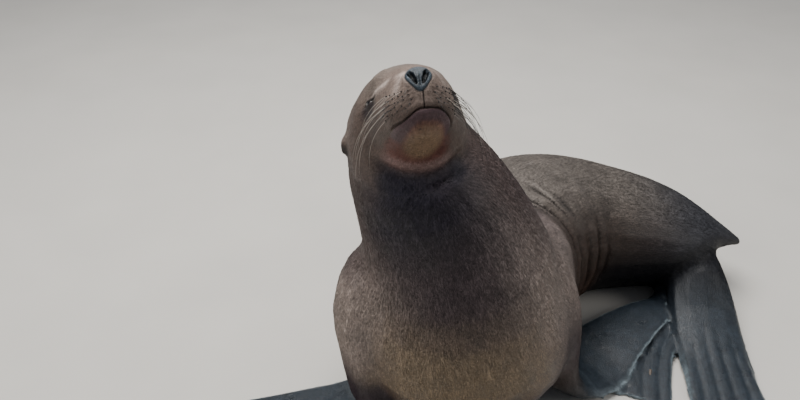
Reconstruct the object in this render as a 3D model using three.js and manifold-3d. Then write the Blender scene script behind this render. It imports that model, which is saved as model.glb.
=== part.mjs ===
// A young California sea lion at rest, life size, in millimetres with +Z up.
// It sits with its chest upright and its nose raised. Its hindquarters lie to its left, +X.
// One swept body runs from nose to tail and is parted across into lengths, with four limbs set on it.
import * as THREE from 'three';
import { mergeVertices } from 'three/addons/utils/BufferGeometryUtils.js';
import Module from 'manifold-3d';

const wasm = await Module();
wasm.setup();

// ---- driving sizes ----
const GAP = 0.3; // the thin cut between neighbouring solids
const AROUND = 24; // corners of one cross-section of the body
const HEAD_STEP = 13; // spacing of the cross-sections on the head
const TRUNK_STEP = 32; // spacing on the neck and trunk
const FOLD_STEP = 20; // spacing where the flank folds
const NOSE_STEP = 5; // spacing at the very front
const NOSE_END = 16; // distance behind the nose tip where the close spacing stops
const HEAD_END = 160; // distance behind the nose tip where the head's spacing stops
const NECK_BEND = 110; // distance behind the nose tip where the sweep starts to turn into the neck

// ---- the head's own frame: forward to the nose, left, and up to the forehead ----
const NOSE = new THREE.Vector3(26.7, 968, 820);
const HEAD_TURN = 6.6; // degrees that the nose turns to its left
const HEAD_RAISE = 45.4; // degrees that the nose points above the floor
const HEAD_ROLL = 2.6; // degrees that its left side tips up

const degrees = THREE.MathUtils.degToRad;
const vector = (x, y, z) => new THREE.Vector3(x, y, z);
const headForward = vector(
  Math.sin(degrees(HEAD_TURN)) * Math.cos(degrees(HEAD_RAISE)),
  -Math.cos(degrees(HEAD_TURN)) * Math.cos(degrees(HEAD_RAISE)),
  Math.sin(degrees(HEAD_RAISE)),
);
const headLeft = vector(Math.cos(degrees(HEAD_TURN)), Math.sin(degrees(HEAD_TURN)), 0);
headLeft.applyAxisAngle(headForward, degrees(HEAD_ROLL));
const headUp = headForward.clone().cross(headLeft);
const headTail = headForward.clone().negate();

// A point given as the distance behind the nose tip, to its left, and up.
const onHead = (behind, left, up) => {
  const ahead = NOSE.clone().addScaledVector(headForward, -behind);
  return ahead.addScaledVector(headLeft, left).addScaledVector(headUp, up);
};

// ---- cross-sections from nose to tail ----
// On the head: distance behind the nose, half width, top and bottom heights about the nose line.
const HEAD_SECTIONS = [
  { behind: 1, half: 14, top: 1, bottom: -20 },
  { behind: 5, half: 22, top: 7, bottom: -33 },
  { behind: 12, half: 29, top: 13, bottom: -48 },
  { behind: 24, half: 37, top: 20, bottom: -63 },
  { behind: 45, half: 45, top: 30, bottom: -73 },
  { behind: 72, half: 53, top: 41, bottom: -78 },
  { behind: 100, half: 61, top: 50, bottom: -81 },
  { behind: 128, half: 70, top: 63, bottom: -85 },
  { behind: 160, half: 81, top: 75, bottom: -94 },
];
// From neck to tail: middle, half width, and depth to the back and to the belly.
const BODY_SECTIONS = [
  { at: [9, 1094, 671], half: 91, back: 93, belly: 100 },
  { at: [11, 1111, 640], half: 98, back: 101, belly: 116 },
  { at: [21, 1117, 602], half: 111, back: 112, belly: 125 },
  { at: [40, 1120, 560], half: 125, back: 122, belly: 134 },
  { at: [72, 1124, 481], half: 147, back: 136, belly: 148 },
  { at: [91, 1124, 420], half: 166, back: 138, belly: 172, full: 2.1 },
  { at: [99, 1140, 359], half: 188, back: 132, belly: 214, full: 2.3 },
  { at: [109, 1182, 304], half: 209, back: 132, belly: 256, full: 2.6 },
  { at: [132, 1246, 260], half: 213, back: 144, belly: 251, full: 2.7 },
  { at: [168, 1328, 228], half: 202, back: 160, belly: 218, full: 2.3 },
  { at: [216, 1408, 205], half: 194, back: 181, belly: 202, full: 2.1 },
  { at: [274, 1480, 192], half: 186, back: 183, belly: 196 },
  { at: [344, 1538, 180], half: 177, back: 168, belly: 184 },
  { at: [422, 1573, 166], half: 166, back: 150, belly: 170 },
  { at: [500, 1586, 155], half: 156, back: 130, belly: 159 },
  { at: [578, 1588, 148], half: 146, back: 108, belly: 152 },
  { at: [648, 1581, 142], half: 132, back: 84, belly: 142 },
  { at: [706, 1573, 140], half: 98, back: 58, belly: 94 },
  { at: [748, 1570, 136], half: 54, back: 35, belly: 42 },
  { at: [786, 1571, 124], half: 28, back: 19, belly: 19 },
  { at: [822, 1574, 108], half: 10, back: 7, belly: 7 },
];

// Soft rises and hollows on the swept form: where along (behind the nose), at what angle round it,
// how long and how wide the rise spreads, and how high it stands. 0 is its left, 90 its back.
const mirrored = (angle, rise) => [
  { angle, ...rise },
  { angle: 180 - angle, ...rise },
];
const RISES = [
  ...mirrored(-20, { along: 42, long: 24, wide: 28, high: 6 }), // whisker pads
  { angle: 50, along: 110, long: 24, wide: 18, high: 3 }, // left brow
  { angle: 130, along: 110, long: 24, wide: 18, high: 10 }, // right brow, drawn up
  ...mirrored(16, { along: 118, long: 15, wide: 13, high: -5 }), // eye hollows
  ...mirrored(-18, { along: 175, long: 36, wide: 28, high: 4 }), // cheeks
  { angle: 270, along: 42, long: 20, wide: 26, high: 5 }, // chin
];

// The folds pressed into its left flank where the trunk bends.
const FOLDS = { along: 1010, pitch: 75, long: 95, angle: 2, wide: 44, high: 6, reach: 124 };

// ---- limbs ----
// Each limb stands in one upright plane: out is the distance along its heading from the origin on the
// floor, up the height of its middle, lead and trail the reach to its front and rear edges, thick half
// its thickness, side a drift off the heading, and droop the tilt of the rear edge.
// A fore limb's arm is given by how far out its top, shoulder, upper arm, elbow and forearm stand.
const foreArm = ([top, shoulder, upperArm, elbow, forearm]) => [
  { out: top, up: 425, lead: 30, trail: 36, thick: 18 },
  { out: shoulder, up: 365, lead: 62, trail: 74, thick: 38 },
  { out: upperArm, up: 292, lead: 82, trail: 96, thick: 52 },
  { out: elbow, up: 205, lead: 86, trail: 102, thick: 53 },
  { out: forearm, up: 130, lead: 78, trail: 94, thick: 46 },
  { out: -12, up: 62, lead: 80, trail: 92, thick: 34 },
  { out: 40, up: 22, lead: 94, trail: 94, thick: 23 },
];
const foreFlipper = (reach, lift) => [
  { out: 0.27 * reach, up: 13, lead: 96, trail: 88, thick: 14 },
  { out: 0.5 * reach, up: 10 + 0.67 * lift, lead: 70, trail: 74, thick: 11 },
  { out: 0.73 * reach, up: 8 + lift, lead: 48, trail: 58, thick: 8 },
  { out: 0.89 * reach, up: 6 + lift, lead: 34, trail: 42, thick: 6 },
  { out: 0.97 * reach, up: 5 + lift, lead: 14, trail: 28, thick: 4 },
  { out: reach, up: 4 + lift, lead: 1, trail: 12, thick: 2.5 },
];
const WRIST_OUT = { L: 40, R: 92 }; // where the arm is parted from the flipper
const OVER_FOOT = 30; // its left fore flipper lies this much higher, on the toes of its right hind foot
const FORE_LIMBS = {
  L: {
    origin: vector(320, 1200, 0),
    heading: 37,
    flip: 1,
    sections: [...foreArm([-94, -76, -62, -48, -34]), ...foreFlipper(398, OVER_FOOT)],
  },
  R: {
    origin: vector(-58, 1112, 0),
    heading: 184,
    flip: -1,
    sections: [...foreArm([-8, 10, 14, 4, 0]), ...foreFlipper(380, 0)],
  },
};

const HIND_LIMBS = {
  L: {
    origin: vector(697, 1480, 0),
    heading: -94,
    flip: 1,
    sections: [
      { out: -80, up: 102, lead: 62, trail: 38, thick: 50 },
      { out: -20, up: 94, lead: 72, trail: 54, thick: 56 },
      { out: 40, up: 64, lead: 76, trail: 70, thick: 46 },
      { out: 100, up: 38, lead: 78, trail: 77, thick: 31 },
      { out: 160, up: 22, lead: 77, trail: 77, thick: 22 },
      { out: 230, up: 13, lead: 78, trail: 78, thick: 14 },
      { out: 300, up: 9, lead: 79, trail: 79, thick: 9 },
      { out: 372, up: 6.5, lead: 80, trail: 80, thick: 5.6 },
      { out: 420, up: 4, lead: 75, trail: 75, thick: 3 },
    ],
    toes: { from: 150, to: 446, fan: 34, base: 26 },
  },
  R: {
    origin: vector(690, 1540, 0),
    heading: -112,
    flip: 1,
    sections: [
      { out: -88, up: 62, lead: 24, trail: 24, thick: 24 },
      { out: -60, up: 52, lead: 34, trail: 34, thick: 32 },
      { out: 0, up: 32, lead: 42, trail: 42, thick: 28 },
      { out: 73, up: 23, lead: 47, trail: 47, thick: 24, side: -8 },
      { out: 159, up: 16, lead: 54, trail: 54, thick: 17, side: -33 },
      { out: 251, up: 11, lead: 62, trail: 60, thick: 11.5, side: -56 },
      { out: 350, up: 7.5, lead: 71, trail: 67, thick: 6.6, side: -60 },
      { out: 422, up: 4, lead: 66, trail: 62, thick: 3, side: -48 },
    ],
    toes: { from: 150, to: 446, fan: 34, base: 24 },
  },
};
const ANKLE_OUT = { L: 95, R: 110 }; // where the leg is parted from the foot

// ---- smooth tables ----
// Values at given places, joined by a smooth curve through them.
function smoothTable(places, rows) {
  const slope = (i, k) => {
    const a = Math.max(i - 1, 0);
    const b = Math.min(i + 1, rows.length - 1);
    return (rows[b][k] - rows[a][k]) / (places[b] - places[a]);
  };
  return (place) => {
    let i = 0;
    while (i < places.length - 2 && place > places[i + 1]) i += 1;
    const step = places[i + 1] - places[i];
    const t = THREE.MathUtils.clamp((place - places[i]) / step, 0, 1);
    const fromStart = (1 + 2 * t) * (1 - t) ** 2;
    const startSlope = t * (1 - t) ** 2 * step;
    const endSlope = t * t * (t - 1) * step;
    return rows[i].map((value, k) => {
      const straight = fromStart * value + (1 - fromStart) * rows[i + 1][k];
      return straight + startSlope * slope(i, k) + endSlope * slope(i + 1, k);
    });
  };
}

// ---- lofted solids ----
// A closed surface through rings of points, each ring closed by a fan at either end.
function loft(rings) {
  const count = rings[0].length;
  const position = rings.flatMap((ring) => ring.flatMap((p) => [p.x, p.y, p.z]));
  const index = [];
  for (let r = 0; r + 1 < rings.length; r += 1) {
    for (let i = 0; i < count; i += 1) {
      const [a, b] = [r * count + i, r * count + ((i + 1) % count)];
      index.push(a, b + count, b, a, a + count, b + count);
    }
  }
  for (const [r, turned] of [
    [0, false],
    [rings.length - 1, true],
  ]) {
    const middle = rings[r].reduce((sum, p) => sum.add(p), vector(0, 0, 0)).divideScalar(count);
    const hub = position.length / 3;
    position.push(middle.x, middle.y, middle.z);
    for (let i = 0; i < count; i += 1) {
      const [a, b] = [r * count + i, r * count + ((i + 1) % count)];
      index.push(hub, turned ? b : a, turned ? a : b);
    }
  }
  const geometry = new THREE.BufferGeometry();
  geometry.setAttribute('position', new THREE.Float32BufferAttribute(position, 3));
  geometry.setIndex(index);
  return geometry;
}

function solidOf(geometry) {
  const bare = geometry.clone();
  bare.deleteAttribute('normal');
  bare.deleteAttribute('uv');
  const merged = mergeVertices(bare, 1e-4);
  return new wasm.Manifold(
    new wasm.Mesh({
      numProp: 3,
      vertProperties: merged.attributes.position.array,
      triVerts: new Uint32Array(merged.index.array),
    }),
  );
}

const aboveFloor = (solid) => solid.trimByPlane([0, 0, 1], 0);

// ---- the body ----
function stationsOf() {
  const head = HEAD_SECTIONS.map(({ behind, half, top, bottom }) => ({
    middle: onHead(behind, 0, (top + bottom) / 2),
    tail: behind < NECK_BEND ? headTail : undefined,
    half,
    back: (top - bottom) / 2,
    belly: (top - bottom) / 2,
    full: 2.1,
  }));
  const rest = BODY_SECTIONS.map(({ at, ...sizes }) => ({ middle: vector(...at), ...sizes }));
  const all = [...head, ...rest];
  all.forEach((station, i) => {
    const before = all[Math.max(i - 1, 0)];
    const after = all[Math.min(i + 1, all.length - 1)];
    station.tail ??= after.middle.clone().sub(before.middle).normalize();
    station.along = i ? before.along + station.middle.distanceTo(before.middle) : HEAD_SECTIONS[0].behind;
  });
  return all;
}
const stations = stationsOf();
const BODY_LENGTH = stations.at(-1).along;

// Its back faces away from the throat on the neck and turns up to face the sky along the trunk.
const backHint = smoothTable(
  [0, 240, 420, 640, 900, BODY_LENGTH],
  [headUp.toArray(), headUp.toArray(), [-0.05, 0.97, 0.25], [0, 0.8, 0.6], [0, 0, 1], [0, 0, 1]],
);
const bodyTable = smoothTable(
  stations.map((s) => s.along),
  stations.map((s) => [...s.middle.toArray(), ...s.tail.toArray(), s.half, s.back, s.belly, s.full ?? 2]),
);

// A circle's sine or cosine, made fuller toward the corners of its square where full is over 2.
const rounded = (value, full) => Math.sign(value) * Math.abs(value) ** (2 / full);

function bodyRing(along, grow = 0) {
  const row = bodyTable(along);
  const middle = vector(...row.slice(0, 3));
  const tail = vector(...row.slice(3, 6)).normalize();
  const [half, back, belly, full] = row.slice(6);
  const up = vector(...backHint(along));
  up.addScaledVector(tail, -up.dot(tail)).normalize();
  const left = tail.clone().cross(up);
  return Array.from({ length: AROUND }, (_, i) => {
    const angle = (360 * i) / AROUND;
    const radians = degrees(angle);
    const wide = half * rounded(Math.cos(radians), full);
    const high = (Math.sin(radians) > 0 ? back : belly) * rounded(Math.sin(radians), full);
    const out = Math.hypot(wide, high);
    const scale = (out + riseAt(along, angle) + grow) / out;
    return middle.clone().addScaledVector(left, wide * scale).addScaledVector(up, high * scale);
  });
}

const bell = (distance, spread) => Math.exp(-((distance / spread) ** 2));
const turnBetween = (a, b) => ((((a - b) % 360) + 540) % 360) - 180;

function riseAt(along, angle) {
  const soft = RISES.reduce(
    (sum, r) => sum + r.high * bell(along - r.along, r.long) * bell(turnBetween(angle, r.angle), r.wide),
    0,
  );
  const fold =
    FOLDS.high *
    Math.cos((2 * Math.PI * (along - FOLDS.along)) / FOLDS.pitch) *
    bell(along - FOLDS.along, FOLDS.long) *
    bell(turnBetween(angle, FOLDS.angle), FOLDS.wide);
  return soft + fold;
}

// Where the body is parted across, and the name of each length.
const LENGTHS = [
  { name: 'head', from: HEAD_SECTIONS[0].behind, to: 236 },
  { name: 'neck', from: 236, to: 470 },
  { name: 'chest', from: 470, to: 830 },
  { name: 'loin', from: 830, to: 1130 },
  { name: 'hips', from: 1130, to: 1330 },
  { name: 'tail', from: 1330, to: BODY_LENGTH },
];

// The spacing of the cross-sections: close at the nose, on the head and in the folds.
function stepAt(place) {
  if (place < NOSE_END) return NOSE_STEP;
  if (place < HEAD_END) return HEAD_STEP;
  return Math.abs(place - FOLDS.along) < FOLDS.reach ? FOLD_STEP : TRUNK_STEP;
}

// The places of the cross-sections between two distances along the body.
function placesBetween(from, to) {
  const places = [];
  let place = from;
  while (place < to - stepAt(place) / 2) {
    places.push(place);
    place += stepAt(place);
  }
  return [...places, to];
}

const sweepThrough = (places, grow = 0) => solidOf(loft(places.map((place) => bodyRing(place, grow))));

// One length, short of its two ends by half the gap.
function bodyLength({ from, to }) {
  const inner = placesBetween(from, to).slice(1, -1);
  return sweepThrough([from + GAP / 2, ...inner, to - GAP / 2]);
}

// The whole sweep on the same cross-sections.
function wholeBody(grow) {
  const ends = LENGTHS.flatMap(({ from, to }) => placesBetween(from, to).slice(1));
  return sweepThrough([LENGTHS[0].from, ...ends], grow);
}

// ---- the swept limbs ----
function limbTable({ origin, heading, sections }) {
  const along = vector(Math.cos(degrees(heading)), Math.sin(degrees(heading)), 0);
  const rearward = vector(-along.y, along.x, 0);
  const middles = sections.map(({ out, up, side = 0 }) =>
    origin.clone().addScaledVector(along, out).addScaledVector(rearward, side).add(vector(0, 0, up)),
  );
  const places = [0];
  for (let i = 1; i < middles.length; i += 1) {
    places.push(places[i - 1] + middles[i].distanceTo(middles[i - 1]));
  }
  const rows = sections.map((s, i) => [...middles[i].toArray(), s.lead, s.trail, s.thick]);
  return { rearward, places, at: smoothTable(places, rows) };
}

const NEAR = 2; // half the length over which a limb's own direction is read
function limb(shape, { corners = 12, steps = 18, grow = 0 } = {}) {
  const { rearward, places, at } = limbTable(shape);
  const across = rearward.clone().multiplyScalar(shape.flip);
  const total = places.at(-1);
  const rings = Array.from({ length: steps + 1 }, (_, i) => {
    const place = (total * i) / steps;
    const [x, y, z, lead, trail, thick] = at(place);
    const ahead = at(Math.min(place + NEAR, total));
    const behind = at(Math.max(place - NEAR, 0));
    const run = vector(ahead[0] - behind[0], ahead[1] - behind[1], ahead[2] - behind[2]).normalize();
    const face = run.clone().cross(across).multiplyScalar(shape.flip).normalize();
    return Array.from({ length: corners }, (_unused, k) => {
      const turn = (-2 * Math.PI * shape.flip * k) / corners;
      const side = Math.cos(turn);
      return vector(x, y, z)
        .addScaledVector(across, side * ((side > 0 ? trail : lead) + grow))
        .addScaledVector(face, Math.sin(turn) * (thick + grow));
    });
  });
  return solidOf(loft(rings));
}

// A short tapering piece through a few points, oval in section: a toe, an ear or a claw.
function taper(points, { wide, high, faceUp = vector(0, 0, 1), corners = 8, steps = 6, grow = 0 }) {
  const curve = new THREE.CatmullRomCurve3(points);
  const widths = smoothTable(points.map((_, i) => i), wide.map((w, i) => [w, high[i]]));
  const rings = Array.from({ length: steps + 1 }, (_, i) => {
    const t = i / steps;
    const middle = curve.getPoint(t);
    const run = curve.getTangent(t);
    const across = faceUp.clone().cross(run).normalize();
    const face = run.clone().cross(across).normalize();
    const [w, h] = widths(t * (points.length - 1));
    return Array.from({ length: corners }, (_unused, k) => {
      const turn = (-2 * Math.PI * k) / corners;
      return middle
        .clone()
        .addScaledVector(across, Math.cos(turn) * (w + grow))
        .addScaledVector(face, Math.sin(turn) * (h + grow));
    });
  });
  return solidOf(loft(rings));
}

// ---- the toes of a hind foot ----
// Five toes run through the web, base apart where they start and fan apart at their tips.
const TOES = [
  { reach: 1, wide: 1.25 },
  { reach: 0.93, wide: 0.95 },
  { reach: 0.91, wide: 0.9 },
  { reach: 0.93, wide: 0.95 },
  { reach: 0.99, wide: 1.1 },
];
const TOE_WIDE = [11, 13, 13.5, 14, 8];
const TOE_HIGH = [16, 13, 9.5, 6, 2.2];
const TOE_SINK = 0.8; // how far a toe reaches under the floor before it is trimmed flat
const MIDDLE_TOE = 2;

function toePoints(shape, index) {
  const { from, to, fan, base } = shape.toes;
  const along = vector(Math.cos(degrees(shape.heading)), Math.sin(degrees(shape.heading)), 0);
  const rearward = vector(-along.y, along.x, 0);
  const tip = from + (to - from) * TOES[index].reach;
  const outs = shape.sections.map((s) => s.out);
  const drift = smoothTable(outs, shape.sections.map((s) => [s.side ?? 0]));
  return TOE_WIDE.map((_, i) => {
    const t = i / (TOE_WIDE.length - 1);
    const out = from + (tip - from) * t;
    const side = drift(out)[0] + (index - MIDDLE_TOE) * (base + (fan - base) * t);
    const up = TOE_HIGH[i] - TOE_SINK;
    return shape.origin.clone().addScaledVector(along, out).addScaledVector(rearward, side).setZ(up);
  });
}

function toe(shape, index, grow = 0) {
  const wide = TOE_WIDE.map((w) => w * TOES[index].wide);
  return taper(toePoints(shape, index), { wide, high: TOE_HIGH, corners: 6, steps: 4, grow });
}

function hindLimb(shape, grow = 0) {
  const web = limb(shape, { corners: 12, steps: 11, grow });
  return TOES.reduce((sum, _, i) => sum.add(toe(shape, i, grow)), web);
}

// A claw lies on the back of each of the three middle toes.
const CLAWED_TOES = [1, 2, 3];
const CLAW = { at: 0.72, up: 14.5, drop: 2.5, long: 17, wide: 3.6, high: 2.8 };
function claw(shape, index, grow = 0) {
  const curve = new THREE.CatmullRomCurve3(toePoints(shape, index));
  const run = curve.getTangent(CLAW.at);
  const middle = curve.getPoint(CLAW.at).setZ(CLAW.up);
  const points = [-0.5, 0, 0.5].map((t) =>
    middle.clone().addScaledVector(run, CLAW.long * t).add(vector(0, 0, -CLAW.drop * t)),
  );
  const wide = [CLAW.wide * 0.8, CLAW.wide, 0.6];
  const high = [CLAW.high * 0.8, CLAW.high, 0.5];
  return taper(points, { wide, high, corners: 6, steps: 3, grow });
}

// ---- the parts of the face ----
const EYE = { behind: 122, left: 51, up: 5, radius: 15.5 };
function eye(side, grow = 0) {
  const ball = new THREE.SphereGeometry(EYE.radius + grow, 12, 7);
  const { x, y, z } = onHead(EYE.behind, side * EYE.left, EYE.up);
  return solidOf(ball.translate(x, y, z));
}

const EAR = [
  { behind: 196, left: 80, up: -7, wide: 6, high: 4.5 },
  { behind: 207, left: 94, up: -12, wide: 7, high: 4 },
  { behind: 219, left: 102, up: -21, wide: 5.5, high: 3 },
  { behind: 233, left: 105, up: -33, wide: 1.5, high: 1.2 },
];
const LEFT_EAR = { out: -7, up: 12 }; // its left ear lies closer to the neck and higher
function ear(side) {
  const shift = side > 0 ? LEFT_EAR : { out: 0, up: 0 };
  const points = EAR.map(({ behind, left, up }) => onHead(behind, side * (left + shift.out), up + shift.up));
  const faceUp = headLeft.clone().multiplyScalar(side);
  const [wide, high] = [EAR.map((e) => e.wide), EAR.map((e) => e.high)];
  return taper(points, { wide, high, faceUp, corners: 6, steps: 5 });
}

// A block drawn in the plane across the head and pushed back through it, from one distance to another.
const IN_FRONT = -20; // a distance that is clear of the nose tip
function headBlock(outline, from, to) {
  const depth = to - from;
  const block = new THREE.ExtrudeGeometry(outline, { depth, bevelEnabled: false, curveSegments: 4 });
  const frame = new THREE.Matrix4().makeBasis(headLeft, headUp, headForward);
  block.applyMatrix4(frame.setPosition(onHead(to, 0, 0)));
  return solidOf(block);
}

// The lips meet high under the nose and lower at the sides. All below that line, back to the corner of
// the mouth, is the lower jaw.
const MOUTH = { middle: -45, side: -58, flank: 48, rise: 30, crest: 18, corner: 98, gap: 0.5 };
const UNDER_JAW = { reach: 90, below: -150 };
function jawBlock(grow = 0) {
  const { flank, rise, crest, corner } = MOUTH;
  const { reach, below } = UNDER_JAW;
  const [middle, side] = [MOUTH.middle + grow, MOUTH.side + grow];
  const outline = new THREE.Shape();
  outline.moveTo(-reach, below);
  outline.lineTo(reach, below);
  outline.lineTo(reach, side);
  outline.lineTo(flank, side);
  outline.bezierCurveTo(rise, side, crest, middle, 0, middle);
  outline.bezierCurveTo(-crest, middle, -rise, side, -flank, side);
  outline.lineTo(-reach, side);
  return headBlock(outline, IN_FRONT, corner + grow);
}

// The bare nose pad is a rounded shield, with a slanting nostril cut into either side.
const PAD = { half: 18, top: 9, bottom: -24, widest: -2, shoulder: 6, waist: -12, bow: 9, back: 11 };
function padBlock(grow = 0) {
  const { widest, shoulder, waist, bow, back } = PAD;
  const [half, top, bottom] = [PAD.half + grow, PAD.top + grow, PAD.bottom - grow];
  const outline = new THREE.Shape();
  outline.moveTo(0, bottom);
  outline.bezierCurveTo(bow, bottom, half, waist, half, widest);
  outline.bezierCurveTo(half, shoulder, bow, top, 0, top);
  outline.bezierCurveTo(-bow, top, -half, shoulder, -half, widest);
  outline.bezierCurveTo(-half, waist, -bow, bottom, 0, bottom);
  return headBlock(outline, IN_FRONT, back + grow);
}
const NOSTRIL = { left: 8, up: -6, long: 9, wide: 2.6, deep: 9, lean: 40 };
function nostrilBlock(side) {
  const { left, up, long, wide, lean } = NOSTRIL;
  const outline = new THREE.Shape();
  outline.absellipse(side * left, up, long, wide, 0, 2 * Math.PI, false, side * degrees(lean));
  return headBlock(outline, IN_FRONT, NOSTRIL.deep);
}

// ---- putting the animal together ----
const largest = (solid) => solid.decompose().reduce((a, b) => (b.volume() > a.volume() ? b : a));
const parted = (solid, ...others) => largest(others.reduce((sum, other) => sum.subtract(other), solid));

// Cuts a limb across at a distance from its origin: the piece nearer the body, or the far piece.
function cutAcross(solid, { origin, heading }, out, far) {
  const along = [Math.cos(degrees(heading)), Math.sin(degrees(heading)), 0];
  const place = origin.x * along[0] + origin.y * along[1] + out;
  return far
    ? solid.trimByPlane(along, place + GAP / 2)
    : solid.trimByPlane(along.map((c) => -c), -(place - GAP / 2));
}

const material = (color, roughness) => new THREE.MeshStandardMaterial({ color, roughness, metalness: 0 });
const FUR = {
  face: material('#8a7465', 0.75),
  neck: material('#4f423c', 0.7),
  chest: material('#6f5742', 0.75),
  trunk: material('#5a4f49', 0.6),
};
const SKIN = {
  flipper: material('#454b52', 0.5),
  pad: material('#2a2d33', 0.3),
  claw: material('#3a3531', 0.35),
};
const EYEBALL = material('#14100d', 0.1);

const solids = new Map();
const looks = new Map();
function keep(name, solid, look) {
  solids.set(name, solid);
  looks.set(name, look);
}
const clear = (name, ...others) => solids.set(name, parted(solids.get(name), ...others));

const bodyGrown = wholeBody(2 * GAP);
const hindGrown = { L: hindLimb(HIND_LIMBS.L, GAP), R: hindLimb(HIND_LIMBS.R, GAP) };
for (const length of LENGTHS) keep(length.name, aboveFloor(bodyLength(length)), length.name);
for (const name of ['hips', 'tail']) clear(name, hindGrown.R);

const whole = solids.get('head');
keep('nose', parted(whole.intersect(padBlock()), nostrilBlock(1), nostrilBlock(-1)), 'nose');
keep('jaw', parted(whole.intersect(jawBlock(-MOUTH.gap)), padBlock(GAP)), 'jaw');
clear('head', padBlock(GAP), jawBlock(MOUTH.gap), eye(1, GAP), eye(-1, GAP));

for (const [side, sign] of [['L', 1], ['R', -1]]) {
  keep(`eye_${side}`, eye(sign), 'eye');
  keep(`ear_${side}`, parted(ear(sign), bodyGrown), 'ear');

  const fore = FORE_LIMBS[side];
  const underIt = CLAWED_TOES.map((toeIndex) => claw(HIND_LIMBS.R, toeIndex, GAP));
  const foreWhole = parted(aboveFloor(limb(fore)), bodyGrown, hindGrown.L, hindGrown.R, ...underIt);
  keep(`fore_leg_${side}`, largest(cutAcross(foreWhole, fore, WRIST_OUT[side], false)), 'arm');
  keep(`fore_flipper_${side}`, largest(cutAcross(foreWhole, fore, WRIST_OUT[side], true)), 'flipper');

  const hind = HIND_LIMBS[side];
  const clawRoom = CLAWED_TOES.map((toeIndex) => claw(hind, toeIndex, GAP));
  const others = side === 'L' ? [bodyGrown, hindGrown.R] : [];
  const hindWhole = parted(aboveFloor(hindLimb(hind)), ...others, ...clawRoom);
  keep(`hind_leg_${side}`, largest(cutAcross(hindWhole, hind, ANKLE_OUT[side], false)), 'leg');
  keep(`hind_flipper_${side}`, largest(cutAcross(hindWhole, hind, ANKLE_OUT[side], true)), 'flipper');
  for (const toeIndex of CLAWED_TOES) keep(`claw_${side}_${toeIndex + 1}`, claw(hind, toeIndex), 'claw');
}

const LOOKS = {
  head: FUR.face,
  jaw: FUR.face,
  ear: FUR.face,
  neck: FUR.neck,
  chest: FUR.chest,
  arm: FUR.chest,
  loin: FUR.trunk,
  hips: FUR.trunk,
  tail: FUR.trunk,
  leg: SKIN.flipper,
  flipper: SKIN.flipper,
  nose: SKIN.pad,
  claw: SKIN.claw,
  eye: EYEBALL,
};

function meshOf(name, solid, look) {
  const { numProp, vertProperties, triVerts } = solid.getMesh();
  const position = new Float32Array((vertProperties.length / numProp) * 3);
  for (let i = 0; i < position.length / 3; i += 1) {
    position.set(vertProperties.subarray(i * numProp, i * numProp + 3), i * 3);
  }
  const geometry = new THREE.BufferGeometry();
  geometry.setAttribute('position', new THREE.BufferAttribute(position, 3));
  geometry.setIndex(new THREE.BufferAttribute(triVerts, 1));
  geometry.computeVertexNormals();
  const mesh = new THREE.Mesh(geometry, LOOKS[look]);
  mesh.name = name;
  return mesh;
}

const seaLion = new THREE.Group();
for (const [name, solid] of solids) seaLion.add(meshOf(name, solid, looks.get(name)));

// The origin is the middle of its footprint, on the floor.
const box = new THREE.Box3().setFromObject(seaLion);
const middle = box.getCenter(vector(0, 0, 0));
seaLion.position.set(-middle.x, -middle.y, -box.min.z);

export default seaLion;
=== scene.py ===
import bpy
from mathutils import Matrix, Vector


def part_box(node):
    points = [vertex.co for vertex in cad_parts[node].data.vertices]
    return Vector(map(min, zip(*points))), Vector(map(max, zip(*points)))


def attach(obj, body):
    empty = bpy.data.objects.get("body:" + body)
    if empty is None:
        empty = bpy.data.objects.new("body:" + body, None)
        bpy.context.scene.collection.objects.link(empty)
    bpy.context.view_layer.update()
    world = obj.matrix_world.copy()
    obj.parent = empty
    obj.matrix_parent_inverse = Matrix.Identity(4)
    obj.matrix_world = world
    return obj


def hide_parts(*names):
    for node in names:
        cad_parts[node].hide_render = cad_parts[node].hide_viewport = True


bl_info = {
    "name": "Sea lion",
    "version": (1, 0, 0),
    "blender": (4, 5, 0),
    "location": "3D View > Sidebar > Sea lion",
    "description": "Skin, coat, whiskers, eyes and claws for a life-size young sea lion",
    "category": "Object",
}

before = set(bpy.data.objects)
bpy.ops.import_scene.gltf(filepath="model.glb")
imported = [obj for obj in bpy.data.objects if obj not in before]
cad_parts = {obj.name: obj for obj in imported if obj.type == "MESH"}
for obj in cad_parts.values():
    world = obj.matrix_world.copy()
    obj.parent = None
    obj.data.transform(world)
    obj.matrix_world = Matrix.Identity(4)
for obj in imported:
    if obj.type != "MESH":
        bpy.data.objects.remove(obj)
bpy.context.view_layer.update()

import math

import bmesh
import bpy
import numpy as np
from bpy.props import FloatProperty, FloatVectorProperty, IntProperty, PointerProperty
from mathutils import Matrix, Vector
from mathutils.bvhtree import BVHTree

MM = 0.001


def linear(hex_colour):
    """An sRGB hex colour as linear red, green and blue."""
    values = [int(hex_colour[i:i + 2], 16) / 255 for i in (1, 3, 5)]
    return np.array([v / 12.92 if v <= 0.04045 else ((v + 0.055) / 1.055) ** 2.4 for v in values])


def unit(vectors):
    return vectors / np.maximum(np.linalg.norm(vectors, axis=-1, keepdims=True), 1e-9)


def ramp(value, start, end):
    """0 before start, 1 after end, and smooth between; end may lie below start."""
    t = np.clip((value - start) / (end - start), 0, 1)
    return t * t * (3 - 2 * t)


def bell(value, middle, spread):
    return np.exp(-(((value - middle) / spread) ** 2))


def dots(a, b):
    return np.einsum("ij,ij->i", a, b)


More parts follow.
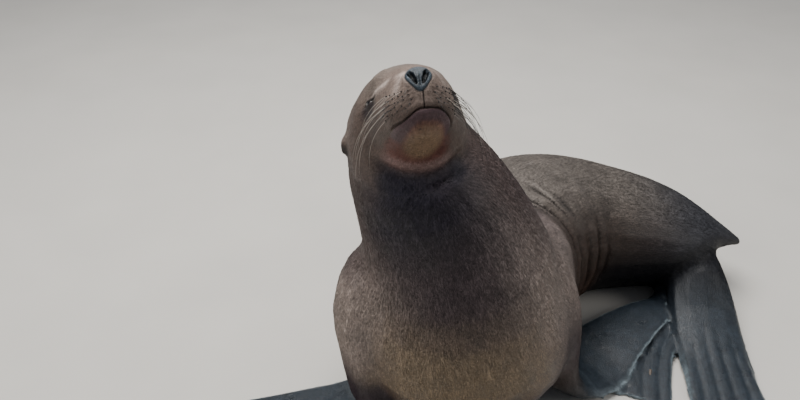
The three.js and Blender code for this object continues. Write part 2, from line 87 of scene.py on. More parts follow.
# ---- the head's own frame: back from the nose tip, to the animal's left, and up to the forehead ----
HEAD_TURN = math.radians(6.6)
HEAD_RAISE = math.radians(45.4)
EYE_BEHIND = 122 * MM
EYE_UP = 5 * MM
EYES = {side: np.array(sum(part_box(f"eye_{side}"), Vector()) / 2) for side in "LR"}
HEAD_FORWARD = np.array([
    math.sin(HEAD_TURN) * math.cos(HEAD_RAISE),
    -math.cos(HEAD_TURN) * math.cos(HEAD_RAISE),
    math.sin(HEAD_RAISE),
])
HEAD_BACK = -HEAD_FORWARD
HEAD_LEFT = unit(EYES["L"] - EYES["R"])
HEAD_UP = np.cross(HEAD_FORWARD, HEAD_LEFT)
NOSE_TIP = (EYES["L"] + EYES["R"]) / 2 - HEAD_BACK * EYE_BEHIND - HEAD_UP * EYE_UP


def head_place(behind, left, up):
    """A point of the head, given in millimetres behind the nose tip, to its left, and up."""
    return NOSE_TIP + MM * (behind * HEAD_BACK + left * HEAD_LEFT + up * HEAD_UP)


# The lines of body and limbs are measured, in millimetres, from the spot on the floor under the lens.
UNDER_LENS = NOSE_TIP - MM * np.array([26.7, 968, 820])
# The middle of the head, behind the nose tip and up, and then of the body from neck to tail.
HEAD_MIDDLES = [(1, -9.5), (12, -17.5), (45, -21.5), (72, -18.5), (100, -15.5), (128, -11), (160, -9.5)]
BODY_MIDDLES = [
    (9, 1094, 671), (11, 1111, 640), (21, 1117, 602), (40, 1120, 560), (72, 1124, 481), (91, 1124, 420),
    (99, 1140, 359), (109, 1182, 304), (132, 1246, 260), (168, 1328, 228), (216, 1408, 205),
    (274, 1480, 192), (344, 1538, 180), (422, 1573, 166), (500, 1586, 155), (578, 1588, 148),
    (648, 1581, 142), (706, 1573, 140), (748, 1570, 136), (786, 1571, 124), (822, 1574, 108),
]
SPINE = np.array(
    [head_place(behind, 0, up) for behind, up in HEAD_MIDDLES]
    + [UNDER_LENS + MM * np.array(place) for place in BODY_MIDDLES]
)
# Which way the back faces, by distance from the nose.
BACK_FACES = [
    (0.0, (-0.13, 0.70, 0.70)), (0.24, (-0.13, 0.70, 0.70)), (0.42, (-0.05, 0.97, 0.25)),
    (0.64, (0.0, 0.8, 0.6)), (0.90, (0.0, 0.0, 1.0)), (1.60, (0.0, 0.0, 1.0)),
]
# Each limb stands in one upright plane: its origin and heading, and how far out and how high its
# middle runs from root to tip, with any drift to the side.
LIMB_PLANES = {
    "fore_L": ((320, 1200), 37, [(-94, 425), (-62, 292), (-34, 130), (-12, 62), (40, 22), (107, 13),
                                 (199, 30), (290, 38), (398, 34)]),
    "fore_R": ((-58, 1112), 184, [(-8, 425), (14, 292), (0, 130), (-12, 62), (40, 22), (103, 13),
                                  (190, 10), (380, 4)]),
    "hind_L": ((697, 1480), -94, [(-80, 102), (-20, 94), (40, 64), (100, 38), (160, 22), (300, 9),
                                  (446, 3)]),
    "hind_R": ((690, 1540), -112, [(-88, 62), (0, 32), (73, 23, -8), (159, 16, -33), (251, 11, -56),
                                   (350, 7, -60), (446, 3, -46)]),
}


def limb_line(origin, heading, rows):
    along = np.array([math.cos(math.radians(heading)), math.sin(math.radians(heading)), 0])
    rearward = np.array([-along[1], along[0], 0])
    start = np.array([*origin, 0])
    lines = [start + out * along + sum(drift) * rearward + [0, 0, up] for out, up, *drift in rows]
    return UNDER_LENS + MM * np.array(lines), rearward


LIMBS = {name: limb_line(*plane) for name, plane in LIMB_PLANES.items()}
LIMB_NODES = {
    "fore_L": ("fore_leg_L", "fore_flipper_L"),
    "fore_R": ("fore_leg_R", "fore_flipper_R"),
    "hind_L": ("hind_leg_L", "hind_flipper_L"),
    "hind_R": ("hind_leg_R", "hind_flipper_R"),
}
TRUNK_NODES = ("neck", "chest", "loin", "hips", "tail")
HEAD_NODES = ("head", "jaw", "nose", "ear_L", "ear_R")
FLESH = HEAD_NODES + TRUNK_NODES + tuple(n for pair in LIMB_NODES.values() for n in pair)
CLAWS = tuple(f"claw_{side}_{toe}" for side in "LR" for toe in (2, 3, 4))
PART_NAMES = ("head", "trunk", *LIMBS)


# ---- where a point lies on the animal ----
def on_line(points, line):
    """The distance along a line of its point nearest each given point, and that point."""
    best = np.full(len(points), np.inf)
    along = np.zeros(len(points))
    foot = np.zeros((len(points), 3))
    start = 0.0
    for a, b in zip(line[:-1], line[1:]):
        length = np.linalg.norm(b - a)
        way = (b - a) / length
        t = np.clip((points - a) @ way, 0, length)
        nearest = a + t[:, None] * way
        far = np.linalg.norm(points - nearest, axis=1)
        closer = far < best
        best[closer] = far[closer]
        along[closer] = start + t[closer]
        foot[closer] = nearest[closer]
        start += length
    return along, foot


def smooth_run(line, along, spread):
    """The direction of a line, eased round its corners."""
    lengths = np.linalg.norm(np.diff(line, axis=0), axis=1)
    places = np.concatenate([[0], np.cumsum(lengths)])
    ahead = np.stack([np.interp(along + spread, places, line[:, k]) for k in range(3)], axis=1)
    behind = np.stack([np.interp(along - spread, places, line[:, k]) for k in range(3)], axis=1)
    return unit(ahead - behind)


def on_head(points):
    """Distances behind the nose tip, to the animal's left, and up, in metres."""
    d = points - NOSE_TIP
    return d @ HEAD_BACK, d @ HEAD_LEFT, d @ HEAD_UP


def on_body(points):
    """Distance from the nose, the angle round the body (0 back, 90 left, -90 right) and the run."""
    along, foot = on_line(points, SPINE)
    run = smooth_run(SPINE, along, 0.05)
    places = [p for p, _ in BACK_FACES]
    up = np.stack([np.interp(along, places, [v[k] for _, v in BACK_FACES]) for k in range(3)], axis=1)
    up = unit(up - run * dots(up, run)[:, None])
    left = np.cross(run, up)
    d = points - foot
    angle = np.degrees(np.arctan2(dots(d, left), dots(d, up)))
    return along, angle, run


def on_limb(points, name):
    """Distance down a limb, its share of the whole, the places across it and over it, and the run."""
    line, rearward = LIMBS[name]
    total = np.linalg.norm(np.diff(line, axis=0), axis=1).sum()
    along, foot = on_line(points, line)
    run = smooth_run(line, along, 0.03)
    over = np.cross(run, rearward)
    over *= np.where(over[:, 2] < 0, -1, 1)[:, None]
    d = points - foot
    return along / total, d @ rearward, dots(d, over), run


# ---- meshes as arrays ----
def rows_of(items, field, width, kind=np.float32):
    """One field of each item of a mesh, a row for each item."""
    flat = np.empty(len(items) * width, kind)
    items.foreach_get(field, flat)
    rows = flat.reshape(-1, width)
    return rows.astype(float) if kind is np.float32 else rows


def points_of(mesh):
    return rows_of(mesh.vertices, "co", 3)


def normals_of(mesh):
    return rows_of(mesh.vertex_normals, "vector", 3)


def edges_of(mesh):
    return rows_of(mesh.edges, "vertices", 2, np.int32)


def triangles_of(mesh):
    mesh.calc_loop_triangles()
    return rows_of(mesh.loop_triangles, "vertices", 3, np.int32)


def put_points(mesh, points):
    mesh.vertices.foreach_set("co", points.astype(np.float32).ravel())
    mesh.update()


def placed(name, data):
    """A new object of the scene."""
    made = bpy.data.objects.new(name, data)
    bpy.context.scene.collection.objects.link(made)
    return made


def mesh_of(bm, name):
    """A finished bmesh as a mesh."""
    mesh = bpy.data.meshes.new(name)
    bm.to_mesh(mesh)
    bm.free()
    return mesh


def modified(mesh, kind, prepare=None, **settings):
    """The plain mesh that one modifier makes of a mesh. prepare sets what is more than a value."""
    work = placed("work", mesh)
    modifier = work.modifiers.new("work", kind)
    for name, value in settings.items():
        setattr(modifier, name, value)
    if prepare:
        prepare(work, modifier)
    bpy.context.view_layer.update()
    evaluated = work.evaluated_get(bpy.context.evaluated_depsgraph_get())
    result = bpy.data.meshes.new_from_object(evaluated)
    bpy.data.objects.remove(work)
    bpy.data.meshes.remove(mesh)
    return result


def evened(values, edges, rounds, strength, keep_size=True):
    """Evens values out over a mesh, by a strength of 0 to 1. keep_size undoes the shrinking."""
    ends = edges.ravel()
    others = edges[:, ::-1].ravel()
    count = np.maximum(np.bincount(ends, minlength=len(values)), 1)[:, None]
    steps = (0.5, -0.52) if keep_size else (0.5,)
    for _ in range(rounds):
        for step in steps:
            sums = [np.bincount(ends, column[others], len(values)) for column in values.T]
            values = values + step * strength[:, None] * (np.stack(sums, axis=1) / count - values)
    return values


def add_piece(name, mesh, slot, *replaced):
    """Puts a finished mesh in the scene as a piece that stands for the CAD nodes it replaces."""
    piece = placed(name, mesh)
    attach(piece, "root")
    if replaced:
        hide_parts(*replaced)
    return piece


def put_attribute(mesh, name, values, kind):
    """Keeps one value for each point: a FLOAT, a FLOAT_VECTOR or a FLOAT_COLOR."""
    layer = mesh.attributes.new(name, kind, "POINT")
    field = {"FLOAT": "value", "FLOAT_VECTOR": "vector", "FLOAT_COLOR": "color"}[kind]
    if kind == "FLOAT_COLOR":
        values = np.column_stack([values, np.ones(len(values))])
    layer.data.foreach_set(field, values.astype(np.float32).ravel())


def solids(nodes):
    """The corners and triangles of some of the CAD nodes together."""
    corners, faces = [], []
    for name in nodes:
        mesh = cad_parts[name].data
        faces += (triangles_of(mesh) + len(corners)).tolist()
        corners += points_of(mesh).tolist()
    return corners, faces


class Parts:
    """Which part of the animal a point is nearest to, from the solids themselves."""

    def __init__(self):
        groups = {"trunk": TRUNK_NODES, "skull": ("head", "jaw"), "ears": ("ear_L", "ear_R")}
        groups.update(LIMB_NODES)
        self.trees = {name: BVHTree.FromPolygons(*solids(nodes)) for name, nodes in groups.items()}
        corners, faces, self.face_part = [], [], []
        for part, nodes in {"head": HEAD_NODES, "trunk": TRUNK_NODES, **LIMB_NODES}.items():
            part_corners, part_faces = solids(nodes)
            faces += [[len(corners) + i for i in face] for face in part_faces]
            corners += part_corners
            self.face_part += [part] * len(part_faces)
        self.tree = BVHTree.FromPolygons(corners, faces)

    def nearest(self, points):
        return np.array([self.face_part[self.tree.find_nearest(p)[2]] for p in points])

    def distance(self, points, part, reach):
        """The distance to one part's surface, up to reach."""
        found = [self.trees[part].find_nearest(p, reach)[3] for p in points]
        return np.array([reach if d is None else d for d in found])


# ---- the skin ----
FLESH_GROWTH = 0.7 * MM  # every solid is grown this much, so that they run together
EAR_GROWTH = 1.6 * MM  # the ears still more, and they are drawn in again later
THIN_DEPTH = 0.2 * MM  # how deep the skin of the flippers lies under their solids
EAR_DEPTH = 0.3 * MM  # how deep the skin of the ears does
EAR_REACH = 6 * MM  # how far from an ear the skin is drawn to it
SLIT_DEPTH = 1.6 * MM  # how far behind the eyeball's surface the skin sinks in the slit
# How many times the skin's points are evened: all of them, the trunk's, creases, head and features.
ROUNDS = {"all": 18, "trunk": 90, "creases": 45, "head": 8, "features": 4}
# How many times its colours are, at the nape and on the rest of the body.
COLOUR_ROUNDS = {"nape": 200, "body": 30}
EYEBALL_RADIUS = 14.4 * MM
LID_FLOOR = 15.0 * MM  # the lids stay this far from the eyeball's centre
LID_BALL = 17.5 * MM  # the lids' own round form, before the coat's depth is taken off
# The slit between the lids: its middle, half its length and height, and how far its rear end drops.
SLIT = {"behind": 118 * MM, "up": 4.5 * MM, "half_long": 13 * MM, "half_open": 1.7 * MM, "drop": 4}
NOSE_MIDDLE = -2.2 * MM  # the nose pad sits a little to the animal's right
# A nostril on either side of the middle: a long drop, broad and far apart above, narrow below.
NOSTRIL = {
    "left": 8.4 * MM, "up": -4.5 * MM, "half_long": 11 * MM, "broad": 5.0 * MM, "narrow": 2.2 * MM,
    "steep": 66,
}
# Creases in the left flank where the trunk bends: how far along each lies, and how deep it is.
FLANK_FOLDS = [(0.790, 4.5), (0.838, 7.0), (0.882, 5.5), (0.935, 2.5)]
# The web sinks between a hind flipper's toes: how far apart they are where they start and at the tips.
TOE_GROOVES = {"hind_L": (26, 34), "hind_R": (24, 34)}


def joined_flesh():
    """The flesh nodes as one mesh of closed pieces, each grown a little so that they run together."""
    bm = bmesh.new()
    for name in FLESH:
        piece = bmesh.new()
        piece.from_mesh(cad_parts[name].data)
        bmesh.ops.remove_doubles(piece, verts=piece.verts, dist=1e-6)
        if name == "nose":  # the nostrils are made again in the skin
            hull = bmesh.ops.convex_hull(piece, input=piece.verts)
            spare = hull["geom_interior"] + hull["geom_unused"]
            bmesh.ops.delete(piece, geom=spare, context="VERTS")
        piece.normal_update()
        extra = EAR_GROWTH if name.startswith("ear") else 0
        for v in piece.verts:
            v.co += v.normal * (FLESH_GROWTH + extra)
        mesh = mesh_of(piece, name)
        bm.from_mesh(mesh)
        bpy.data.meshes.remove(mesh)
    for centre in EYES.values():
        ball = bmesh.ops.create_uvsphere(bm, u_segments=24, v_segments=16, radius=LID_BALL)
        bmesh.ops.translate(bm, verts=ball["verts"], vec=centre)
    return mesh_of(bm, "flesh")


def keep_largest(mesh):
    """Deletes all but the largest connected surface."""
    edges = edges_of(mesh)
    label = np.arange(len(mesh.vertices))
    while True:
        low = np.minimum(label[edges[:, 0]], label[edges[:, 1]])
        new = label.copy()
        np.minimum.at(new, edges[:, 0], low)
        np.minimum.at(new, edges[:, 1], low)
        new = new[new]
        if (new == label).all():
            break
        label = new
    bm = bmesh.new()
    bm.from_mesh(mesh)
    bm.verts.ensure_lookup_table()
    stray = np.flatnonzero(label != np.bincount(label).argmax())
    bmesh.ops.delete(bm, geom=[bm.verts[i] for i in stray], context="VERTS")
    bm.to_mesh(mesh)
    bm.free()


def thinned(mesh, spare, share):
    """The mesh with only a share of its triangles, all taken from the points that spare picks."""
    def pick(work, modifier):
        group = work.vertex_groups.new(name="spare")
        group.add(np.flatnonzero(spare).tolist(), 1.0, "REPLACE")
        modifier.vertex_group = group.name

    return modified(mesh, "DECIMATE", pick, ratio=share)


def refine(mesh, chosen):
    """Splits the faces whose middles chosen picks, in four."""
    bm = bmesh.new()
    bm.from_mesh(mesh)
    bm.faces.ensure_lookup_table()
    middles = np.array([f.calc_center_median()[:] for f in bm.faces])
    edges = {e for i in np.flatnonzero(chosen(middles)) for e in bm.faces[i].edges}
    bmesh.ops.subdivide_edges(bm, edges=list(edges), cuts=1, use_grid_fill=True)
    bmesh.ops.triangulate(bm, faces=[f for f in bm.faces if len(f.verts) > 4])
    bm.to_mesh(mesh)
    bm.free()


def near_head(points):
    behind, left, up = on_head(points)
    return (behind < 0.185) & (np.abs(left) < 0.11) & (up > -0.118) & (up < 0.11)


def near_features(points):
    """The front of the face, where nose, lips and lids are."""
    behind, left, up = on_head(points)
    eyes = (np.abs(behind - EYE_BEHIND) < 0.027) & (np.abs(up - EYE_UP) < 0.019) & (np.abs(left) > 0.03)
    muzzle = (behind < 0.078) & (up > -0.070) & (up < 0.020) & (np.abs(left) < 0.050)
    return near_head(points) & (eyes | muzzle)


def near_openings(points):
    """The lid slits, the nostrils and the line of the lips, where the mesh is finest."""
    behind, left, up = on_head(points)
    eyes = (np.abs(behind - SLIT["behind"]) < 0.019) & (np.abs(up - SLIT["up"]) < 0.008)
    nose = (behind < 0.022) & (np.abs(left) < 0.020) & (up > -0.028) & (up < 0.012)
    lips = (np.abs(up - lip_height(left)) < 0.0026) & (behind < 0.080) & (np.abs(left) < 0.05)
    return near_head(points) & ((eyes & (np.abs(left) > 0.04)) | nose | lips)


def sweep_lids(points):
    """Wraps the skin over each eyeball, and sinks it behind the ball in the slit between the lids."""
    for side, centre in EYES.items():
        d = points - centre
        r = np.maximum(np.linalg.norm(d, axis=1), 1e-9)
        behind, left, up = on_head(points)
        outward = ramp(left * (1 if side == "L" else -1), 0.040, 0.052)
        target = r + np.maximum(LID_FLOOR - r, 0) * outward
        opening = slit_inside(behind, up) * outward * (r < LID_BALL + 0.004)
        target = target + (EYEBALL_RADIUS - SLIT_DEPTH - target) * opening
        points = centre + d * (target / r)[:, None]
    return points


def slit_across(behind, up):
    """The place along the slit from its middle, and above it."""
    lean = math.radians(SLIT["drop"])
    x = behind - SLIT["behind"]
    y = up - SLIT["up"]
    return x * math.cos(lean) - y * math.sin(lean), x * math.sin(lean) + y * math.cos(lean)


def slit_inside(behind, up):
    along, above = slit_across(behind, up)
    open_here = SLIT["half_open"] * np.sqrt(np.clip(1 - (along / SLIT["half_long"]) ** 2, 0.02, 1))
    return ramp(np.abs(above), open_here * 1.15, open_here * 0.6) * (np.abs(along) < SLIT["half_long"])


def lid_folds(behind, side, up):
    """A thick rim on either lid, a fold above and below, and a crease from the front corner."""
    along, above = slit_across(behind, up)
    reach = np.exp(-((along / 0.018) ** 2))
    rims = 0.9 * MM * (bell(above, 3.6 * MM, 1.7 * MM) + bell(above, -3.4 * MM, 1.6 * MM))
    folds = -1.5 * MM * (bell(above, 8.5 * MM, 2.0 * MM) + 0.7 * bell(above, -8.0 * MM, 2.2 * MM))
    ends = np.abs(along + 0.020) < 0.016
    corner = -1.6 * MM * bell(above, 0, 1.5 * MM) * ramp(np.abs(along + 0.020), 0.014, 0.004) * ends
    return ramp(side, 0.035, 0.05) * (reach * (rims + folds) + corner)


def lip_height(left):
    """How high the lips meet: highest under the nose, and falling away to either side."""
    start = np.where(left > 0, 0.018, 0.003)
    return -0.0445 - 0.0110 * ramp(np.abs(left), start, start + 0.028)


def nostril_inside(left, up):
    steep = math.radians(NOSTRIL["steep"])
    x = np.abs(left - NOSE_MIDDLE) - NOSTRIL["left"]
    y = up - NOSTRIL["up"]
    along = x * math.cos(steep) + y * math.sin(steep)
    across = -x * math.sin(steep) + y * math.cos(steep)
    share = np.clip(along / NOSTRIL["half_long"], -1, 1)
    half = (NOSTRIL["narrow"] + (NOSTRIL["broad"] - NOSTRIL["narrow"]) * (share + 1) / 2)
    half = half * np.sqrt(np.clip(1 - share ** 4, 0.01, 1))
    return ramp(np.abs(across), half * 1.15, half * 0.65) * (np.abs(along) < NOSTRIL["half_long"])


def pad_edge(left, up):
    """1 on the outline of the bare nose pad, less inside: a shield, broad above and pointed below."""
    below = up + 2 * MM
    tall = np.where(below > 0, 17 * MM, 22 * MM)
    wide = 18.0 * MM * (1 - 0.30 * ramp(-below, 0, 20 * MM))
    return np.hypot((left - NOSE_MIDDLE) / wide, below / tall)


def nose_relief(behind, left, up):
    """The nostrils, the pad's rim and wings, the line between its halves and the groove below."""
    edge = pad_edge(left, up)
    on_pad = ramp(behind, 0.030, 0.020)
    nostrils = -7.5 * MM * nostril_inside(left, up) * ramp(behind, 0.026, 0.018)
    rim = -1.1 * MM * bell(edge, 1.04, 0.07) * on_pad
    wings = 1.4 * MM * bell(edge, 0.80, 0.16) * on_pad
    septum = -1.0 * MM * bell(left, NOSE_MIDDLE, 0.8 * MM) * ramp(up, 0.006, -0.004) * (edge < 1)
    groove = -1.8 * MM * bell(left, 0.8 * MM, 1.1 * MM) * ramp(up, -0.020, -0.025)
    groove = groove * ramp(up, -0.047, -0.042) * ramp(behind, 0.03, 0.02)
    return nostrils + rim + wings + septum + groove


def mouth_relief(behind, left, up):
    """The line of the lips, their swell, the fold at their corners and the fold behind the chin."""
    over_lip = up - lip_height(left)
    fade = ramp(behind, np.where(left > 0, 0.090, 0.074), 0.050)
    lips = -2.8 * MM * bell(over_lip, 0, 1.3 * MM) * fade
    lips += 1.3 * MM * bell(np.abs(over_lip), 5.5 * MM, 4 * MM) * ramp(behind, 0.10, 0.06)
    corner = -2.2 * MM * bell(np.abs(left), 0.043, 0.004) * ramp(behind, 0.060, 0.080)
    corner = corner * ramp(behind, 0.125, 0.100) * bell(up, -0.060, 0.012) * np.where(left > 0, 1, 0.4)
    chin = -6.5 * MM * chin_fold(behind, left) * ramp(up, -0.055, -0.080)
    return lips + corner + chin


def face_relief(points):
    """How far the face stands out at each point, for what is too fine for the solids."""
    behind, left, up = on_head(points)
    side = np.abs(left)
    pores = -0.35 * MM * whisker_rows(behind, left, up)
    brow = 1.5 * MM * bell(up, 0.010, 0.006) * ramp(behind, 0.03, 0.05) * ramp(behind, 0.115, 0.09)
    brow = brow * ramp(side, 0.02, 0.04)
    fine = nose_relief(behind, left, up) + mouth_relief(behind, left, up)
    return fine + pores + brow + lid_folds(behind, side, up)


def chin_fold(behind, left):
    """1 along the fold where the chin meets the throat."""
    return bell(behind, 0.168 + 0.17 * left, 0.010)


def whisker_rows(behind, left, up):
    """1 along the rows of follicles on the muzzle, 0 between them."""
    side = np.abs(left)
    rows = 0.5 + 0.5 * np.cos(2 * math.pi * (up + 0.35 * side) / (5.5 * MM))
    patch = ramp(side, 0.010, 0.016) * ramp(behind, 0.050, 0.035) * ramp(up, -0.046, -0.040)
    return rows * patch * ramp(up, -0.010, -0.018)


def body_relief(points, part):
    along, angle, _ = on_body(points)
    around_flank = ramp(np.abs(angle - 62), 66, 22) * ramp(angle, 4, 28)
    slant = 0.03 * ramp(angle, 70, 20)
    creases = sum(depth * MM * bell(along + slant, place, 12 * MM) for place, depth in FLANK_FOLDS)
    relief = -creases * around_flank
    neck_rolls = 0.8 * bell(along, 0.305, 0.016) + 0.5 * bell(along, 0.350, 0.020)
    relief -= 1.5 * MM * neck_rolls * ramp(np.abs(angle), 95, 140)
    for name, grooves in TOE_GROOVES.items():
        here = part == name
        share, across, _, _ = on_limb(points[here], name)
        relief[here] += toe_relief(share, across, grooves)
    return relief


def toe_relief(share, across, grooves):
    start, tip = grooves
    spacing = MM * (start + (tip - start) * ramp(share, 0.35, 1.0))
    toe = (across / spacing + 0.5) % 1 - 0.5
    swell = 0.5 - np.abs(2 * toe) ** 2.6
    on_toes = ramp(np.abs(across), 2.9 * spacing, 2.2 * spacing)
    return 3.0 * MM * swell * ramp(share, 0.40, 0.62) * on_toes


def hug_ears(points, parts):
    """Draws the skin in to the ears' own form, where they stand clear of the head."""
    near = np.flatnonzero(near_head(points))
    near = near[parts.distance(points[near], "ears", EAR_REACH) < EAR_REACH]
    clear = ramp(parts.distance(points[near], "skull", 8 * MM), 0.8 * MM, 3.0 * MM)
    for i, amount in zip(near, clear):
        place, lean, _, _ = parts.trees["ears"].find_nearest(points[i])
        points[i] += (np.array(place - lean * EAR_DEPTH) - points[i]) * amount
    return points


def soft_body(mesh, parts):
    """The points of the joined flesh, evened, with soft creases where limbs leave the trunk. Also which
    part each is on, and where the flippers are, which are too thin to be evened as much."""
    edges = edges_of(mesh)
    points = points_of(mesh)
    part = parts.nearest(points)
    thin = np.isin(part, list(LIMBS)) * ramp(points[:, 2], 0.115, 0.065)
    points = evened(points, edges, ROUNDS["all"], 1 - 0.7 * thin)
    points = evened(points, edges, ROUNDS["trunk"], np.where(part == "head", 0, 1 - thin))
    crease = np.zeros(len(points))
    near_trunk = parts.distance(points, "trunk", 0.035)
    for limb in LIMBS:
        near_limb = parts.distance(points, limb, 0.035)
        crease = np.maximum(crease, ramp(near_limb, 0.035, 0.010) * ramp(near_trunk, 0.035, 0.010))
    return evened(points, edges, ROUNDS["creases"], crease, keep_size=False), part, thin


def add_face(mesh, parts):
    """Makes the mesh finer toward nose, lips and lids, and adds them and the ears' own form."""
    refine(mesh, near_head)
    points = hug_ears(points_of(mesh), parts)
    put_points(mesh, evened(points, edges_of(mesh), ROUNDS["head"], near_head(points) * 0.8))
    refine(mesh, near_features)
    points = points_of(mesh)
    chosen = near_features(points).astype(float)
    put_points(mesh, evened(points, edges_of(mesh), ROUNDS["features"], chosen))
    refine(mesh, near_openings)
    points = points_of(mesh)
    part = parts.nearest(points)
    behind, _, up = on_head(points)
    fade = ramp(behind, 0.183, 0.168) * ramp(up, -0.117, -0.104) * near_head(points)
    relief = face_relief(points) * fade
    points = sweep_lids(points + normals_of(mesh) * relief[:, None])
    points[:, 2] = np.maximum(points[:, 2], 0.0)
    put_points(mesh, points)
    return part


def make_skin(settings):
    """One skin over all the flesh, as deep under the solids' surface as the coat is thick."""
    parts = Parts()
    mesh = modified(joined_flesh(), "REMESH", mode="VOXEL", voxel_size=settings.voxel)
    keep_largest(mesh)
    points, part, thin = soft_body(mesh, parts)
    put_points(mesh, points)
    depth = np.where(part == "head", settings.face_depth, settings.coat_depth)
    depth = depth + (THIN_DEPTH - depth) * thin
    points = points - normals_of(mesh) * (depth + FLESH_GROWTH)[:, None]
    put_points(mesh, points)
    put_points(mesh, points + normals_of(mesh) * body_relief(points, part)[:, None])
    mesh = thinned(mesh, ~near_head(points), settings.share)
    part = add_face(mesh, parts)
    mesh.shade_smooth()
    return mesh, part


# ---- markings, among them painted highlights and painted shade: the same for the skin and for the tufts that grow from it ----
def coat_colours(scene):
    return {name: np.array(getattr(scene.sealion_colours, name)) for name in COLOURS}


def mixed(base, colour, amount):
    return base + (colour - base) * np.clip(amount, 0, 1)[:, None]


def layered(base, coat, layers):
    """Lays named colours of the coat over a base one after another, each as far as its amount says."""
    for name, amount in layers:
        base = mixed(base, coat[name], amount)
    return base


def markings(points, normals, part, coat):
    along, angle, _ = on_body(points)
    turn = np.abs(angle)
    high = points[:, 2]
    front = ramp(along, 0.80, 0.62)
    neck = ramp(along, 0.50, 0.36)
    # on_left, on_right and shoulders mark painted highlights on the chest's sides and shoulders, over
    # somewhat paler fur
    on_left = bell(along, 0.50, 0.075) * bell(angle, 125, 24)
    on_right = bell(along, 0.51, 0.090) * bell(angle, -118, 30)
    shoulders = ramp(along, 0.42, 0.52) * front * ramp(np.abs(turn - 85), 45, 15)
    # low: tawny fur low on the chest, lightened partly with painted warm light bounced up from the
    # floor
    low = front * ramp(turn, 125, 150) * ramp(high, 0.40, 0.31)
    # under: painted shade where the chest turns under toward the floor
    under = front * ramp(high, 0.24, 0.15) * ramp(turn, 115, 135) * ramp(along, 0.56, 0.60)
    # The base colour is the flank's reddish-brown fur, darkened partly as painted shade on the shadowed
    # sides
    colour = layered(np.tile(coat["flank"], (len(points), 1)), coat, [
        # the back's lighter fur is partly painted sheen, where the back faces the light from above
        ("back", ramp(turn, 78, 25)),
        ("belly", ramp(turn, 115, 150) * ramp(along, 0.62, 0.80)),
        ("chest", front),
        ("neck", neck),
        # the throat's dark fur, darkened partly as painted shade under the jaw
        ("throat", neck * ramp(turn, 118, 152) * ramp(along, 0.48, 0.30)),
        ("shoulder_and_highlight", np.maximum(on_left, on_right)),
        ("shoulder_and_highlight", 0.55 * shoulders),
        ("low_chest_and_bounce_light", low * ramp(along, 0.44, 0.50)),
        ("under_chest_shade", under),
        ("hip", ramp(along, 1.22, 1.40) * 0.9),
        # painted shade low on the loin's sides above the hind limbs, in the near-black ankle colour
        ("ankle_and_flank_shade", ramp(turn, 62, 105) * ramp(along, 1.00, 1.16)),
    ])
    colour = face_markings(colour, points, along, coat)
    for name in LIMBS:
        here = part == name
        colour[here] = limb_markings(colour[here], points[here], normals[here], name, coat)
    return colour


def face_markings(colour, points, along, coat):
    behind, left, up = on_head(points)
    side = np.abs(left)
    face = ramp(along, 0.33, 0.17) * ramp(up + 0.35 * side, -0.120, -0.075)
    muzzle = ramp(behind, 0.11, 0.05)
    light = np.maximum(muzzle_ridge_highlight(behind, side, up), brow_highlight(behind, side, up))
    colour = layered(colour, coat, [
        ("face", face),
        # the crown is lighter partly as painted light falling on the top of the head from above
        ("crown", face * ramp(up, -0.010, 0.030) * ramp(behind, 0.24, 0.06)),
        ("muzzle", face * muzzle * ramp(up, -0.050, -0.030)),
        # painted highlights along the brows and the muzzle's edges, weaker on the side away from the
        # light
        ("brow", face * light * np.where(left < 0, 0.75, 0.4)),
    ])
    colour = layered(colour, coat, chin_layers(points, along, behind, left, up))
    colour = layered(colour, coat, lip_layers(face, behind, left, up))
    colour = layered(colour, coat, eye_layers(face, behind, side, up))
    colour = layered(colour, coat, ear_layers(points, side))
    return layered(colour, coat, nose_layers(behind, left, up))


def chin_layers(points, along, behind, left, up):
    """Painted shade in the fold behind the chin and under the jaw, the reddish chin with its tawny
    middle and rim, and its spots.
    """
    side = np.abs(left)
    over_lip = up - lip_height(left)
    back = behind - 0.17 * left
    # painted shade in the crease behind the chin and in the hollow under the jaw
    fold = chin_fold(behind, left) * ramp(up, -0.060, -0.082)
    under_jaw_shade = ramp(back, 0.162, 0.176) * ramp(up, -0.075, -0.090) * ramp(side, 0.075, 0.050)
    under = ramp(over_lip, 0.001, -0.004) * ramp(side, 0.056, 0.036) * ramp(behind, 0.168, 0.140)
    centre = np.hypot((behind - 0.075) / 0.062, (left - 0.003) / 0.036)
    rim = bell(back, 0.150, 0.013) * ramp(side, 0.064, 0.042) * ramp(up, -0.055, -0.075)
    lower = ramp(over_lip, 0.0, -0.003) * ramp(over_lip, -0.019, -0.011) * ramp(behind, 0.095, 0.070)
    spots = speckle(points, 9 * MM, 0.80) * under * ramp(over_lip, -0.014, -0.024)
    return [
        ("throat", np.maximum(fold, under_jaw_shade) * ramp(along, 0.33, 0.25)),
        ("chin", under),
        ("chin_middle", under * ramp(centre, 1.10, 0.50) * ramp(over_lip, -0.008, -0.022)),
        ("chin_rim", 0.75 * rim),
        ("lower_lip", 0.75 * lower),
        ("lip_line", 0.8 * spots),
    ]


def lip_layers(face, behind, left, up):
    """The dark line between the lips, the fold at their corners and the groove up to the nose."""
    line = bell(up - lip_height(left), 0.0, 1.3 * MM)
    corner = bell(np.abs(left), 0.0435, 0.0045) * ramp(behind, 0.050, 0.065)
    corner = corner * ramp(behind, 0.110, 0.085)
    groove = bell(left, 0.8 * MM, 0.9 * MM) * ramp(up, -0.020, -0.024) * ramp(up, -0.046, -0.043)
    return [
        ("lip_line", face * (line * ramp(behind, np.where(left > 0, 0.085, 0.072), 0.048))),
        ("lip_line", np.where(left > 0, 0.7, 0.25) * corner * bell(up, -0.058, 0.009)),
        ("lip_line", face * groove * ramp(behind, 0.03, 0.02)),
    ]


